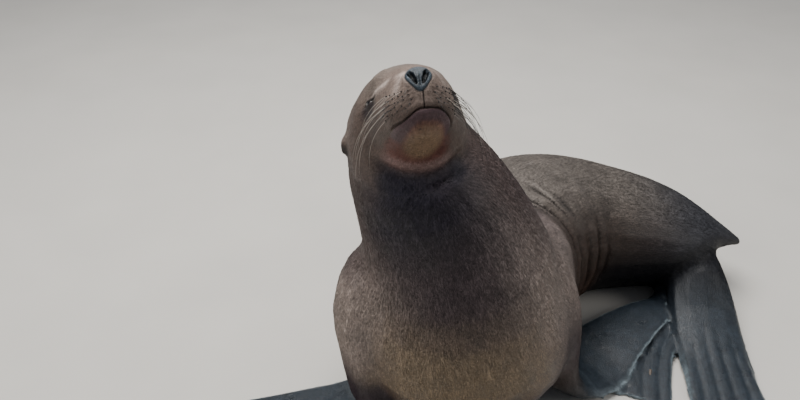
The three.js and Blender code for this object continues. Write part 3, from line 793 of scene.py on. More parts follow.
def eye_layers(face, behind, side, up):
    """The dark hollow under the eye, and the dark rims of the lids."""
    across, above = slit_across(behind, up)
    on_side = ramp(side, 0.038, 0.050) * face
    hollow = np.hypot((across + 0.001) / 0.024, (above + 0.0095) / 0.0150)
    slit = np.hypot((across + 0.006) / 0.023, above / 0.0028)
    return [
        ("eye_patch", on_side * 0.95 * ramp(hollow, 1.2, 0.5)),
        ("lip_line", on_side * ramp(slit, 1.3, 0.6)),
    ]


def ear_layers(points, side):
    """The ears: a painted highlight above and painted shade where they hang."""
    in_ear, share = in_ear_box(points)
    in_ear = in_ear * ramp(side, 0.074, 0.082)
    return [
        # painted highlight on the ears' tops and painted shade under them
        ("brow", 0.3 * in_ear * ramp(share, 0.55, 0.80)),
        ("lip_line", 0.9 * in_ear * ramp(share, 0.62, 0.42)),
    ]


def nose_layers(behind, left, up):
    """The dark pad, painted highlights on its rims and middle, and painted shade inside the nostrils.
    """
    edge = pad_edge(left, up)
    flat = ramp(behind, 0.024, 0.018)
    pad = ramp(edge, 1.05, 0.97) * flat
    middle = bell(np.abs(left - NOSE_MIDDLE), 1.6 * MM, 0.8 * MM) * ramp(up, -0.020, -0.012)
    return [
        ("nose", pad),
        # painted highlights on the wet pad's rims and the line between its halves
        ("nose_pad_highlight", pad * 0.6 * (bell(edge, 0.86, 0.10) + 0.7 * middle)),
        # painted shade inside the nostril openings
        ("nostril", nostril_inside(left, up) * ramp(behind, 0.026, 0.018)),
    ]


def softened(colours, points, edges, part):
    """Evens the colours on the body, and most of all at the nape, but not on limbs, ears and face."""
    behind, _, up = on_head(points)
    kept = np.isin(part, list(LIMBS)) | (in_ear_box(points)[0] > 0)
    nape = ramp(up, -0.04, 0.0) * ramp(behind, 0.11, 0.16) * ramp(behind, 0.60, 0.45)
    body = ramp(behind, 0.13, 0.20)
    for amount, rounds in ((nape, COLOUR_ROUNDS["nape"]), (body, COLOUR_ROUNDS["body"])):
        colours = evened(colours, edges, rounds, np.where(kept, 0, amount), keep_size=False)
    return colours


def in_ear_box(points):
    """1 in the box round either ear, and how high in it each point lies, from 0 to 1."""
    inside, share = np.zeros(len(points)), np.zeros(len(points))
    for name in ("ear_L", "ear_R"):
        low, high = np.array(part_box(name))
        here = ((points > low - 2 * MM) & (points < high + 2 * MM)).all(1)
        inside[here] = 1
        share[here] = (points[here, 2] - low[2]) / (high[2] - low[2])
    return inside, share


def brow_highlight(behind, side, up):
    """A painted highlight along the brow, from over the eye forward to the top of the muzzle."""
    line = bell(up, 0.0105, 0.0055) * ramp(side, 0.028, 0.038)
    return line * ramp(behind, 0.040, 0.056) * ramp(behind, 0.112, 0.096)


def muzzle_ridge_highlight(behind, side, up):
    """A painted highlight down the muzzle's edge, from beside the top of the nose to over the whiskers.
    """
    line = bell(side, 0.022 + 0.55 * np.maximum(-up, 0), 0.0065) * ramp(behind, 0.010, 0.018)
    return line * ramp(up, -0.026, -0.012) * ramp(up, 0.016, 0.006) * ramp(behind, 0.050, 0.038)


def speckle(points, spacing, rarity):
    """Small round spots at random places of a grid, few of them where rarity is near 1."""
    cell = np.floor(points / spacing)
    chance = np.abs(np.sin(cell @ np.array([127.1, 311.7, 74.7])) * 43758.5453) % 1
    middle = (cell + 0.5) * spacing
    return (chance > rarity) * ramp(np.linalg.norm(points - middle, axis=1), 2.6 * MM, 1.2 * MM)


def limb_markings(colour, points, normals, name, coat):
    share, _, _, _ = on_limb(points, name)
    if name.startswith("fore"):
        bare = ramp(share, 0.36, 0.52)
        rim = ramp(share, 0.50, 0.65)
    else:
        bare = ramp(share, 0.0, 0.26)
        rim = ramp(share, 0.45, 0.70) * 0.6
        colour = mixed(colour, coat["ankle_and_flank_shade"], ramp(share, -0.02, 0.08) * ramp(share, 0.50, 0.32))
        bare = bare * ramp(share, 0.10, 0.45)
    colour = mixed(colour, coat["flipper"], bare)
    # painted highlight along the flippers' edges, where the surface turns from flat to steep
    return mixed(colour, coat["flipper_edge"], bare * rim * ramp(np.abs(normals[:, 2]), 0.93, 0.55))


def bareness(points, part):
    """How bare the skin is: 0 under the coat and 1 on the flippers and the nose pad."""
    bare = np.zeros(len(points))
    for name in LIMBS:
        here = part == name
        share = on_limb(points[here], name)[0]
        start, end = (0.42, 0.60) if name.startswith("fore") else (0.08, 0.50)
        bare[here] = ramp(share, start, end)
    behind, left, up = on_head(points)
    pad = ramp(pad_edge(left, up), 1.04, 0.97) * ramp(behind, 0.024, 0.018)
    return np.maximum(bare, pad)


def lie_of_coat(points, normals, edges, part):
    """The way the hair lies: back from the nose, down the body and out along the limbs."""
    _, _, flow = on_body(points)
    behind = on_head(points)[0]
    head = ramp(behind, 0.26, 0.18)[:, None]
    flow = flow + (HEAD_BACK - flow) * head
    for name in LIMBS:
        here = part == name
        flow[here] = on_limb(points[here], name)[3]
    for _ in range(3):
        flow = evened(flow, edges, 8, np.ones(len(points)), keep_size=False)
        flow = unit(flow - normals * dots(flow, normals)[:, None])
    return flow


def streak_place(points, part):
    """Where a point lies along and round the animal, in metres, for streaks that follow the coat."""
    along, angle, _ = on_body(points)
    place = np.column_stack([along, np.radians(angle) * 0.14, np.zeros(len(points))])
    for number, name in enumerate(LIMBS, start=1):
        here = (part == name) & (bareness(points, part) > 0)
        if here.any():
            share, across, over, _ = on_limb(points[here], name)
            place[here] = np.column_stack([share * 0.5, across, over + 3 * number])
    return place


# ---- materials ----
def fill(tree, node, inputs):
    """Sets a node's inputs, by socket name or number, to a value or to another node's output."""
    for name, value in inputs.items():
        if isinstance(value, bpy.types.NodeSocket):
            tree.links.new(value, node.inputs[name])
        else:
            node.inputs[name].default_value = value


def add(tree, kind, inputs=None, **settings):
    """Adds a node, where a short kind is a shader's. settings are its own properties."""
    made = tree.nodes.new(kind if "Node" in kind else "ShaderNode" + kind)
    for name, value in settings.items():
        setattr(made, name, value)
    fill(tree, made, inputs or {})
    return made


def start_material(name):
    """A new material, its tree, its shader, and the place on the animal in metres."""
    material = bpy.data.materials.new(name)
    material.use_nodes = True
    tree = material.node_tree
    return material, tree, tree.nodes["Principled BSDF"], add(tree, "TexCoord").outputs["Object"]


def kept(tree, name, output):
    """A value that the mesh keeps at each point."""
    return add(tree, "Attribute", attribute_name=name).outputs[output]


def between(tree, value, low, high, start=0.0, end=1.0):
    """A value from start to end, stretched to run from low to high."""
    settings = {"Value": value, "From Min": start, "From Max": end, "To Min": low, "To Max": high}
    return add(tree, "MapRange", settings, clamp=True).outputs["Result"]


def product(tree, a, b):
    return add(tree, "Math", {0: a, 1: b}, operation="MULTIPLY").outputs[0]


def total(tree, a, b):
    return add(tree, "Math", {0: a, 1: b}, operation="ADD").outputs[0]


def scaled(tree, colour, amount):
    """A colour made lighter or darker."""
    return add(tree, "VectorMath", {0: colour, "Scale": amount}, operation="SCALE").outputs["Vector"]


def noise(tree, place, grain, detail):
    """Soft noise with grains of one size in metres, or of three sizes, one along each axis."""
    size = 1 / grain if isinstance(grain, float) else 1.0
    if not isinstance(grain, float):
        place = add(tree, "Mapping", {"Vector": place, "Scale": [1 / g for g in grain]}).outputs[0]
    return add(tree, "TexNoise", {"Vector": place, "Scale": size, "Detail": detail}).outputs["Fac"]


def spread(tree, fac, low, high):
    """Noise, which keeps mostly between 0.3 and 0.7, stretched to run from low to high."""
    return between(tree, fac, low, high, 0.3, 0.7)


def flecks(tree, here):
    """Fine dark and light flecks, as a factor for the colour."""
    return between(tree, noise(tree, here, 0.004, 2.0), 0.77, 1.20, 0.32, 0.68)


def skin_material():
    """Short sea lion fur, damp and lying flat: fine dark streaks down the body and a soft broken gloss.
    On flippers and nose it gives way to bare leathery skin, finely wrinkled, with painted shade in the
    wrinkles' grooves and a wetter shine."""
    material, tree, shader, here = start_material("short damp fur and bare skin")
    bare = kept(tree, "bare", "Fac")
    place = kept(tree, "streak_place", "Vector")
    locks = noise(tree, place, (0.022, 0.0022, 0.0022), 3.0)
    hairs = noise(tree, place, (0.008, 0.0006, 0.0006), 2.0)
    patches = noise(tree, here, 0.045, 4.0)
    wrinkle = add(tree, "TexVoronoi", {"Vector": here, "Scale": 1 / 0.0035}, feature="DISTANCE_TO_EDGE")
    wrinkles = between(tree, wrinkle.outputs["Distance"], 0.0, 1.0, 0.0, 0.18)
    grain = noise(tree, here, 0.012, 6.0)
    furred = between(tree, bare, 1.0, 0.0)
    streaks = product(tree, spread(tree, locks, 0.74, 1.24), spread(tree, hairs, 0.84, 1.16))
    # the wrinkles' grooves are darkened as painted shade, over the leather's random grain
    leather_grain_and_groove_shade = product(tree, between(tree, wrinkles, 0.72, 1.0), spread(tree, grain, 0.72, 1.3))
    shade = add(tree, "Mix", {"Factor": bare, "A": streaks, "B": leather_grain_and_groove_shade}).outputs["Result"]
    shade = product(tree, shade, spread(tree, patches, 0.80, 1.20))
    shade = product(tree, shade, flecks(tree, here))
    lock_rise = product(tree, locks, between(tree, furred, 0.0, 0.9))
    hair_rise = product(tree, hairs, between(tree, furred, 0.0, 0.35))
    bare_rise = product(tree, total(tree, wrinkles, grain), between(tree, bare, 0.0, 0.35))
    rise = total(tree, total(tree, lock_rise, hair_rise), bare_rise)
    bump = {"Height": rise, "Strength": 0.9, "Distance": 0.9 * MM}
    fill(tree, shader, {
        "Base Color": scaled(tree, kept(tree, "markings", "Color"), shade),
        "Normal": add(tree, "Bump", bump).outputs["Normal"],
        "Roughness": total(tree, between(tree, bare, 0.50, 0.34), spread(tree, patches, -0.08, 0.08)),
        "IOR": 1.38,
    })
    return material


def tuft_material():
    """Damp guard hairs lying flat: each tuft a shade of its own, rounded across, with a soft gloss."""
    material, tree, shader, here = start_material("damp guard hair")
    patches = noise(tree, here, 0.045, 4.0)
    shade = product(tree, spread(tree, patches, 0.80, 1.20), flecks(tree, here))
    fill(tree, shader, {
        "Base Color": scaled(tree, kept(tree, "markings", "Color"), shade),
        "Normal": kept(tree, "lean", "Vector"),
        "Roughness": spread(tree, patches, 0.38, 0.54),
        "IOR": 1.33,
    })
    return material


def eye_material():
    """A wet eye: a near-black brown iris under a clear smooth cornea, which gives a sharp highlight."""
    material, tree, shader, here = start_material("wet dark eye")
    fibres = spread(tree, noise(tree, here, 0.0012, 3.0), 0.75, 1.25)
    fill(tree, shader, {
        "Base Color": scaled(tree, kept(tree, "markings", "Color"), fibres),
        "Roughness": 0.06,
        "IOR": 1.38,
        "Coat Weight": 1.0,
        "Coat Roughness": 0.02,
    })
    return material


def two_colours(tree, amount, first, second):
    """From one colour to the other as the amount rises from 0 to 1."""
    inputs = {0: amount, 6: (*first, 1), 7: (*second, 1)}
    return add(tree, "Mix", inputs, data_type="RGBA").outputs[2]


def claw_material():
    """Worn keratin: dark brown horn streaked with a paler one, with fine lines along it and a dull
    polish."""
    material, tree, shader, here = start_material("claw horn")
    lines = noise(tree, here, (0.0008, 0.010, 0.0008), 3.0)
    bump = {"Height": lines, "Strength": 0.5, "Distance": 0.3 * MM}
    amount = spread(tree, lines, 0.0, 1.0)
    fill(tree, shader, {
        "Base Color": two_colours(tree, amount, linear("#2c2420"), linear("#6d5d4c")),
        "Normal": add(tree, "Bump", bump).outputs["Normal"],
        "Roughness": 0.38,
    })
    return material


def whisker_material(colours):
    """Thick smooth whiskers: horn-pale or near black, with a tight shine along them."""
    material, tree, shader, here = start_material("whisker keratin")
    tone = kept(tree, "tone", "Fac")
    hair = two_colours(tree, tone, colours.whisker_dark, colours.whisker_pale)
    shade = spread(tree, noise(tree, here, 0.01, 2.0), 0.75, 1.2)
    fill(tree, shader, {"Base Color": scaled(tree, hair, shade), "Roughness": 0.28, "IOR": 1.55})
    return material


def follicle_material(colours):
    """The dark swollen skin round the root of a whisker, a little damp."""
    material, tree, shader, here = start_material("whisker follicle skin")
    shade = spread(tree, noise(tree, here, 0.0008, 2.0), 0.7, 1.3)
    fill(tree, shader, {"Base Color": scaled(tree, tuple(colours.lip_line), shade), "Roughness": 0.4})
    return material


def floor_material(pale):
    """Matt plaster: pale and even, with a faint mottle."""
    material, tree, shader, here = start_material("pale matt plaster")
    shade = spread(tree, noise(tree, here, 0.25, 4.0), 0.97, 1.03)
    fill(tree, shader, {"Base Color": scaled(tree, tuple(pale), shade), "Roughness": 0.8})
    return material


# ---- the coat ----
# Each piece of coat: the part of the animal it grows on, from and to where along the body it does, the
# length of its tufts, the most of them it may have, and the slot its finish comes from.
COAT_COLUMNS = ("name", "part", "from", "to", "long", "most", "slot")
COAT_ROWS = [
    ("coat_face", "head", 0.0, 0.30, 5, 44000, "face_fur"),
    ("coat_neck", "trunk", 0.19, 0.45, 10, 44000, "chest_fur"),
    ("coat_chest", "trunk", 0.45, 0.64, 12, 44000, "chest_fur"),
    ("coat_ribs", "trunk", 0.64, 0.86, 12, 44000, "trunk_fur"),
    ("coat_loin", "trunk", 0.86, 1.12, 12, 42000, "trunk_fur"),
    ("coat_rump", "trunk", 1.12, 1.62, 11, 40000, "trunk_fur"),
    ("coat_fore_leg_L", "fore_L", 0.0, 1.0, 9, 22000, "chest_fur"),
    ("coat_fore_leg_R", "fore_R", 0.0, 1.0, 9, 22000, "chest_fur"),
    ("coat_hind_leg_L", "hind_L", 0.0, 1.0, 7, 16000, "trunk_fur"),
    ("coat_hind_leg_R", "hind_R", 0.0, 1.0, 7, 16000, "trunk_fur"),
]
COAT_PIECES = [dict(zip(COAT_COLUMNS, row)) for row in COAT_ROWS]
TUFT_FACES = np.array([(0, 2, 1), (0, 1, 3), (1, 2, 3), (2, 0, 3)])
PATCH = 0.003  # how far across a tuft's patch is in the coat's own map
PATCH_CORNERS = PATCH * np.array([(-0.5, -0.5), (0.5, -0.5), (0.0, 0.0), (0.0, 0.5)])
# For the two corners at a tuft's root, its middle and its tip: how light each is, and how far the
# shading leans to the side, which makes the flat blade look round.
TUFT_SHADES = np.array([0.88, 0.88, 1.0, 1.10])
TUFT_LEANS = np.array([-0.30, 0.30, 0.0, 0.0])
ROOT_DEPTH = 0.25 * MM  # how far a tuft's root is set into the skin
MIDDLE_RISE = 0.12 * MM  # how far its middle stands off the skin at least
FLOOR_GAP = 0.2 * MM  # how far every tuft stays above the floor


class Skin:
    """The finished skin's mesh as arrays, and what the coat needs to know at each of its points."""

    def __init__(self, mesh):
        self.points = points_of(mesh)
        self.normals = normals_of(mesh)
        self.triangles = triangles_of(mesh)
        self.tree = BVHTree.FromPolygons(self.points.tolist(), self.triangles.tolist())
        corners = self.points[self.triangles]
        a, b, c = corners[:, 0], corners[:, 1], corners[:, 2]
        self.areas = np.linalg.norm(np.cross(b - a, c - a), axis=1) / 2


def bald(points, bare):
    """How much of the coat is missing: on bare skin, between lids and lips, and next to the floor."""
    behind, left, up = on_head(points)
    side = np.abs(left)
    head = near_head(points)
    lips = bell(up - lip_height(left), 0, 2.2 * MM) * ramp(behind, 0.105, 0.085) * head
    across, above = slit_across(behind, up)
    eye = ramp(np.hypot(across / 0.016, above / 0.0050), 1.25, 0.9) * ramp(side, 0.035, 0.045) * head
    floor = ramp(points[:, 2], 3 * MM, 1 * MM)
    return np.clip(np.maximum.reduce([bare * 1.15, lips, eye, floor]), 0, 1)


def tuft_length(points, piece):
    """Full length on the body. On the head, shortest on the muzzle and longer toward the ears."""
    long = MM * piece["long"] * np.ones(len(points))
    if piece["part"] == "head":
        long = long * (0.62 + 0.38 * ramp(on_head(points)[0], 0.04, 0.12))
    return long


def coat_map(points, piece):
    """A flat map of the skin under a piece of coat: round the body one way, along it the other."""
    if piece["part"] in LIMBS:
        share, across, over, _ = on_limb(points, piece["part"])
        around = np.arctan2(over * 2.5, across)
        return np.column_stack([0.5 + around / (2 * math.pi), share])
    if piece["part"] == "head":
        behind, left, up = on_head(points)
        around = np.arctan2(left, up + 0.016)
        out = np.hypot(left, up + 0.016)
        return np.column_stack([0.5 + around / (2 * math.pi), (behind + 0.6 * out) / 0.36])
    along, angle, _ = on_body(points)
    return np.column_stack([0.5 + angle / 360, (along - piece["from"]) / (piece["to"] - piece["from"])])


def raised(skin, places, heights):
    """The skin's own points nearest to some places, raised off it."""
    for i, place in enumerate(places):
        near, lean, _, _ = skin.tree.find_nearest(place)
        places[i] = near + lean * heights[i]
    return places


def tufts(skin, piece, faces, settings, random):
    """Tufts on some of the skin's triangles: flat four-sided blades that overlap and lie along it."""
    weight = skin.areas[faces] * skin.cover[faces]
    count = min(piece["most"], int(weight.sum() / (settings.spacing * MM * piece["long"])))
    chosen = faces[random.choice(len(faces), count, p=weight / weight.sum())]
    a, b = random.random((2, count))
    a, b = np.where(a + b > 1, 1 - a, a), np.where(a + b > 1, 1 - b, b)
    share = np.stack([1 - a - b, a, b], axis=1)[:, :, None]
    corners = skin.triangles[chosen]

    def at_root(values):
        return (values[corners] * share).sum(1)

    root, normal, flow = at_root(skin.points), unit(at_root(skin.normals)), at_root(skin.flow)
    stray = random.normal(0, settings.stray, count)[:, None]
    flow = unit(flow + np.cross(normal, flow) * stray)
    side = unit(np.cross(normal, flow))
    fewer = 1 - 0.5 * at_root(skin.bare[:, None])[:, 0]
    long = tuft_length(root, piece) * random.uniform(0.7, 1.3, count) * fewer
    broad = long * settings.broad * random.uniform(0.8, 1.2, count)
    lift = long * settings.lift * random.uniform(0.3, 1.7, count) ** 2
    tip = raised(skin, root + flow * long[:, None], lift)
    middle = raised(skin, 0.62 * root + 0.38 * tip, lift * 0.4 + broad * 0.12 + MIDDLE_RISE)
    below = root - normal * ROOT_DEPTH
    half = side * broad[:, None] / 2
    blades = np.stack([below - half, below + half, middle, tip], axis=1)
    blades[:, :, 2] = np.maximum(blades[:, :, 2], FLOOR_GAP)
    uneven = 1.5 if piece["part"] == "head" else 1
    tone = np.exp(random.normal(0, settings.tone * uneven, count))
    colours = at_root(skin.colour)[:, None, :] * tone[:, None, None] * TUFT_SHADES[None, :, None]
    leans = unit(normal[:, None, :] + side[:, None, :] * TUFT_LEANS[None, :, None])
    mapped = np.clip(coat_map(root, piece), PATCH, 1 - PATCH)[:, None, :] + PATCH_CORNERS
    return blades.reshape(-1, 3), colours.reshape(-1, 3), leans.reshape(-1, 3), mapped


def coat_mesh(name, blades, colours, leans, mapped):
    count = len(mapped)
    corners = (TUFT_FACES[None] + 4 * np.arange(count)[:, None, None]).reshape(-1)
    mesh = bpy.data.meshes.new(name)
    mesh.vertices.add(4 * count)
    mesh.vertices.foreach_set("co", blades.astype(np.float32).ravel())
    mesh.loops.add(12 * count)
    mesh.loops.foreach_set("vertex_index", corners.astype(np.int32))
    mesh.polygons.add(4 * count)
    mesh.polygons.foreach_set("loop_start", np.arange(0, 12 * count, 3, dtype=np.int32))
    mesh.update(calc_edges=True)
    put_attribute(mesh, "markings", colours, "FLOAT_COLOR")
    put_attribute(mesh, "lean", leans, "FLOAT_VECTOR")
    layer = mesh.uv_layers.new(name="OFBake")
    patch = mapped[:, TUFT_FACES.ravel(), :].astype(np.float32)
    layer.uv.foreach_set("vector", patch.ravel())
    mesh.validate()
    return mesh


# ---- eyes ----
def eyeball_mesh(name, centre, outward):
    """A wet ball with a dark round iris and a darker pupil, looking out and forward."""
    gaze = unit(outward + 0.45 * HEAD_FORWARD)
    bm = bmesh.new()
    bmesh.ops.create_uvsphere(bm, u_segments=56, v_segments=36, radius=EYEBALL_RADIUS)
    mesh = mesh_of(bm, name)
    points = points_of(mesh)
    facing = unit(points) @ gaze
    cornea = 1 + 0.03 * ramp(facing, 0.80, 0.97)
    put_points(mesh, centre + points * cornea[:, None])
    rim, iris, pupil = linear("#3a302c"), linear("#2a1a10"), linear("#050404")
    colour = mixed(np.tile(rim, (len(points), 1)), iris, ramp(facing, 0.74, 0.78))
    put_attribute(mesh, "markings", mixed(colour, pupil, ramp(facing, 0.93, 0.95)), "FLOAT_COLOR")
    mesh.shade_smooth()
    return mesh


# ---- whiskers ----
# Rows of whiskers on either side of the muzzle: how far behind the nose tip and up each starts, where
# it ends, how many grow in it, and how long they are at its start and end, in millimetres.
WHISKER_ROWS = [
    ((9, -21), (34, -14), 5, (22, 70)),
    ((8, -27), (42, -21), 7, (26, 95)),
    ((10, -33), (47, -28), 8, (26, 115)),
    ((13, -38), (50, -35), 7, (22, 110)),
    ((17, -43), (50, -42), 5, (18, 80)),
]
WHISKER_RISE = 0.85 * MM  # how far the root of a whisker stands out of the skin
LEAST_THICK = 0.045  # whiskers shorter than this are as thick as one of this length


def whisker_roots(skin, settings, random):
    """Where each whisker grows, the way it stands and bends, how long it is and how dark."""
    rows = []
    for sign in (1, -1):
        for start, end, count, long in WHISKER_ROWS:
            for k in range(count):
                t = (k + 0.5) / count
                behind, up = [a + (b - a) * t + random.normal(0, 0.8) for a, b in zip(start, end)]
                length = long[0] + (long[1] - long[0]) * t
                rows.append(whisker_at(skin, sign, behind, up, length, t, settings, random))
    return [np.array(column) for column in zip(*rows)]


def whisker_at(skin, sign, behind, up, long, t, settings, random):
    inside = Vector(head_place(behind + 12, 0, up))
    sideways = sign * HEAD_LEFT * (0.35 + 0.65 * min(behind / 30, 1))
    outward = Vector(unit(sideways + HEAD_FORWARD * (1 - t) * 0.6))
    near, normal, _, _ = skin.tree.ray_cast(inside + outward * 0.15, -outward)
    aim = 0.55 * np.array(normal) + sign * HEAD_LEFT * 0.35
    aim = aim + HEAD_BACK * (0.15 + 0.75 * t) - HEAD_UP * 0.35
    aim = unit(aim + random.normal(0, 0.07, 3))
    hang = unit(-HEAD_UP * 0.8 + HEAD_BACK * 0.35 + np.array([0, 0, -0.35]))
    bend = unit(hang - aim * (hang @ aim))
    turn = Matrix(np.stack([bend, np.cross(aim, bend), aim], axis=1).tolist()).to_euler()
    length = MM * long * settings.length * random.uniform(0.8, 1.15)
    fewer_pale = 0.5 if sign > 0 else 1
    tone = float(random.random() < settings.pale * 2 * t * fewer_pale)
    return near + normal * WHISKER_RISE, turn, length, tone


def whisker_tree():
    """A tapered, bent hair on every point, turned and scaled as the point says, and a root bump."""
    tree = bpy.data.node_groups.new("whiskers", "GeometryNodeTree")
    inputs = [("Geometry", "Geometry"), ("Radius", "Float"), ("Bend", "Float"), ("Root", "Float"),
              ("Hair", "Material"), ("Skin", "Material")]
    for name, kind in inputs:
        tree.interface.new_socket(name, in_out="INPUT", socket_type="NodeSocket" + kind)
    tree.interface.new_socket("Geometry", in_out="OUTPUT", socket_type="NodeSocketGeometry")
    given = add(tree, "NodeGroupInput").outputs
    end = add(tree, "ShaderNodeCombineXYZ", {"X": given["Bend"], "Z": 0.88}).outputs[0]
    line = {"Resolution": 9, "Start": (0, 0, 0), "Middle": (0, 0, 0.55), "End": end}
    curve = add(tree, "GeometryNodeCurveQuadraticBezier", line).outputs[0]
    factor = add(tree, "GeometryNodeSplineParameter").outputs["Factor"]
    thinner = {0: factor, 1: -0.85, 2: 1.0}
    taper = add(tree, "ShaderNodeMath", thinner, operation="MULTIPLY_ADD").outputs[0]
    round_hair = {"Resolution": 5, "Radius": given["Radius"]}
    ring = add(tree, "GeometryNodeCurvePrimitiveCircle", round_hair).outputs[0]
    tube = {"Curve": curve, "Profile Curve": ring, "Scale": taper, "Fill Caps": True}
    hair = add(tree, "GeometryNodeCurveToMesh", tube).outputs[0]
    round_root = {"Segments": 8, "Rings": 5, "Radius": given["Root"]}
    bump = add(tree, "GeometryNodeMeshUVSphere", round_root).outputs[0]
    named = "GeometryNodeInputNamedAttribute"
    turn = add(tree, named, {"Name": "turn"}, data_type="FLOAT_VECTOR").outputs[0]
    size = add(tree, named, {"Name": "size"}, data_type="FLOAT_VECTOR").outputs[0]
    turned = add(tree, "FunctionNodeEulerToRotation", {"Euler": turn}).outputs[0]
    hairs = {"Points": given["Geometry"], "Instance": hair, "Rotation": turned, "Scale": size}
    bumps = {"Points": given["Geometry"], "Instance": bump}
    joined = add(tree, "GeometryNodeJoinGeometry")
    for placed, material in ((hairs, "Hair"), (bumps, "Skin")):
        instances = add(tree, "GeometryNodeInstanceOnPoints", placed).outputs[0]
        real = add(tree, "GeometryNodeRealizeInstances", {"Geometry": instances}).outputs[0]
        finished = add(tree, "GeometryNodeSetMaterial", {"Geometry": real, "Material": given[material]})
        tree.links.new(finished.outputs[0], joined.inputs[0])
    add(tree, "NodeGroupOutput", {"Geometry": joined.outputs[0]})
    return tree


def grown(mesh, tree, values):
    """The plain mesh that a Geometry Nodes tree makes of a mesh, with its inputs set by name."""
    def set_inputs(work, modifier):
        modifier.node_group = tree
        for item in tree.interface.items_tree:
            if item.in_out == "INPUT" and item.name in values:
                modifier[item.identifier] = values[item.name]

    return modified(mesh, "NODES", set_inputs)


# ---- claws ----
def claw_mesh(name):
    """A claw's own solid, rounded off."""
    bm = bmesh.new()
    bm.from_mesh(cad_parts[name].data)
    bmesh.ops.remove_doubles(bm, verts=bm.verts, dist=1e-6)
    mesh = modified(mesh_of(bm, "solid claw"), "SUBSURF", levels=2, render_levels=2)
    mesh.name = name + "_horn"
    mesh.shade_smooth()
    return mesh


# ---- settings ----
def length_of(name, description, default):
    return FloatProperty(name=name, description=description, default=default, min=0, unit="LENGTH")


def factor(name, description, default):
    return FloatProperty(name=name, description=description, default=default, min=0)


def colour_of(name, description, default):
    settings = {"default": tuple(linear(default)), "subtype": "COLOR", "size": 3, "min": 0, "max": 1}
    return FloatVectorProperty(name=name, description=description, **settings)


class SEALION_PG_skin(bpy.types.PropertyGroup):
    voxel: length_of("Mesh spacing", "Spacing of the skin's mesh as it is first made", 4.3 * MM)
    share: factor("Share kept", "Share of the first triangles kept", 0.235)
    coat_depth: length_of("Coat depth", "How deep the skin lies under the coat on the body", 1.8 * MM)
    face_depth: length_of("Face coat depth", "How deep the skin lies under the face's coat", 0.9 * MM)


class SEALION_PG_colours(bpy.types.PropertyGroup):
    # Back: fur along the back, lightened partly with painted sheen where it faces the light from above
    back: colour_of("Back", "Damp fur along the back", "#645d57")
    # Flank: reddish-brown fur, darkened partly as painted shade on the shadowed lower sides
    flank: colour_of("Flank", "Fur on the flanks", "#35251c")
    belly: colour_of("Belly", "Fur on the belly", "#3c3029")
    # Throat: dark fur, also painted as shade under the jaw and in the fold behind the chin
    throat: colour_of("Throat", "Dark fur of the throat", "#25222c")
    neck: colour_of("Neck", "Fur on the sides of the neck", "#4f4341")
    chest: colour_of("Chest", "Fur on the chest", "#392f35")
    # Lower chest: tawny fur, lightened partly with painted warm light bounced up from the floor
    low_chest_and_bounce_light: colour_of("Lower chest", "Tawny fur low on the chest", "#7d6c56")
    # Under the chest: painted shade where the chest turns under toward the floor
    under_chest_shade: colour_of("Under the chest", "Dark fur where the chest turns under", "#352a30")
    # Shoulder: paler fur, lightened further with painted highlights on the shoulders and the chest's
    # sides
    shoulder_and_highlight: colour_of("Shoulder", "Paler fur on the shoulders", "#91837a")
    hip: colour_of("Hips", "Slaty fur on the hips and tail", "#303238")
    # Ankles: near-black fur at the hind flippers' roots, also painted as shade low on the loin's sides
    ankle_and_flank_shade: colour_of("Ankles", "Near-black fur at the root of the hind flippers", "#141418")
    flipper: colour_of("Flippers", "Bare slate-grey skin", "#262d34")
    # Flipper edges: the colour of a painted highlight along the flippers' steep edges
    flipper_edge: colour_of("Flipper edges", "Worn paler edge of a flipper", "#87949a")
    face: colour_of("Face", "Fur on the cheeks", "#54463f")
    # Brow: the colour of the painted highlights on the brows, the muzzle's edges and the ears' tops
    brow: colour_of("Brow", "Light fur on the forehead and brows", "#b5a69d")
    # Crown: fur on the forehead and crown, lightened partly with painted light from above
    crown: colour_of("Crown", "Fur on the forehead and crown", "#7a6e65")
    muzzle: colour_of("Muzzle", "Fur round the nose", "#73645b")
    chin: colour_of("Chin", "Reddish fur under the jaw", "#5c3730")
    chin_middle: colour_of("Middle of the chin", "Tawny fur in the middle of the chin", "#76604b")
    chin_rim: colour_of("Rim of the chin", "Pinkish fur where the chin ends", "#7d6763")
    lower_lip: colour_of("Lower lip", "Greyer fur of the lower lip", "#463a40")
    lip_line: colour_of("Lip line", "Dark skin where the lips meet", "#17100f")
    eye_patch: colour_of("Eye hollow", "Dark fur under the eye", "#2a2224")
    nose: colour_of("Nose pad", "Wet bare skin of the nose", "#1f272e")
    # Nose rim: the colour of painted highlights on the wet pad's rims
    nose_pad_highlight: colour_of("Nose rim", "Paler rims of the nostrils", "#4a5660")
    # Nostril: painted shade inside the nostril openings
    nostril: colour_of("Nostril", "Inside of the nostrils", "#05080c")
    whisker_dark: colour_of("Dark whiskers", "Near-black whiskers", "#17110f")
    whisker_pale: colour_of("Pale whiskers", "Horn-pale whiskers", "#aaa196")


COLOURS = tuple(SEALION_PG_colours.__annotations__)


class SEALION_PG_coat(bpy.types.PropertyGroup):
    spacing: length_of("Tuft spacing", "How far apart neighbouring rows of tufts stand", 0.55 * MM)
    broad: factor("Breadth", "A tuft's width as a share of its length", 0.15)
    lift: factor("Lift", "How far tips stand off, by share of length", 0.045)
    stray: factor("Stray", "How much tufts turn off the coat's lie", 0.13)
    tone: factor("Tone", "How much tufts differ in tone", 0.18)
    seed: IntProperty(name="Seed", description="Seed of the coat's random places", default=7, min=0)


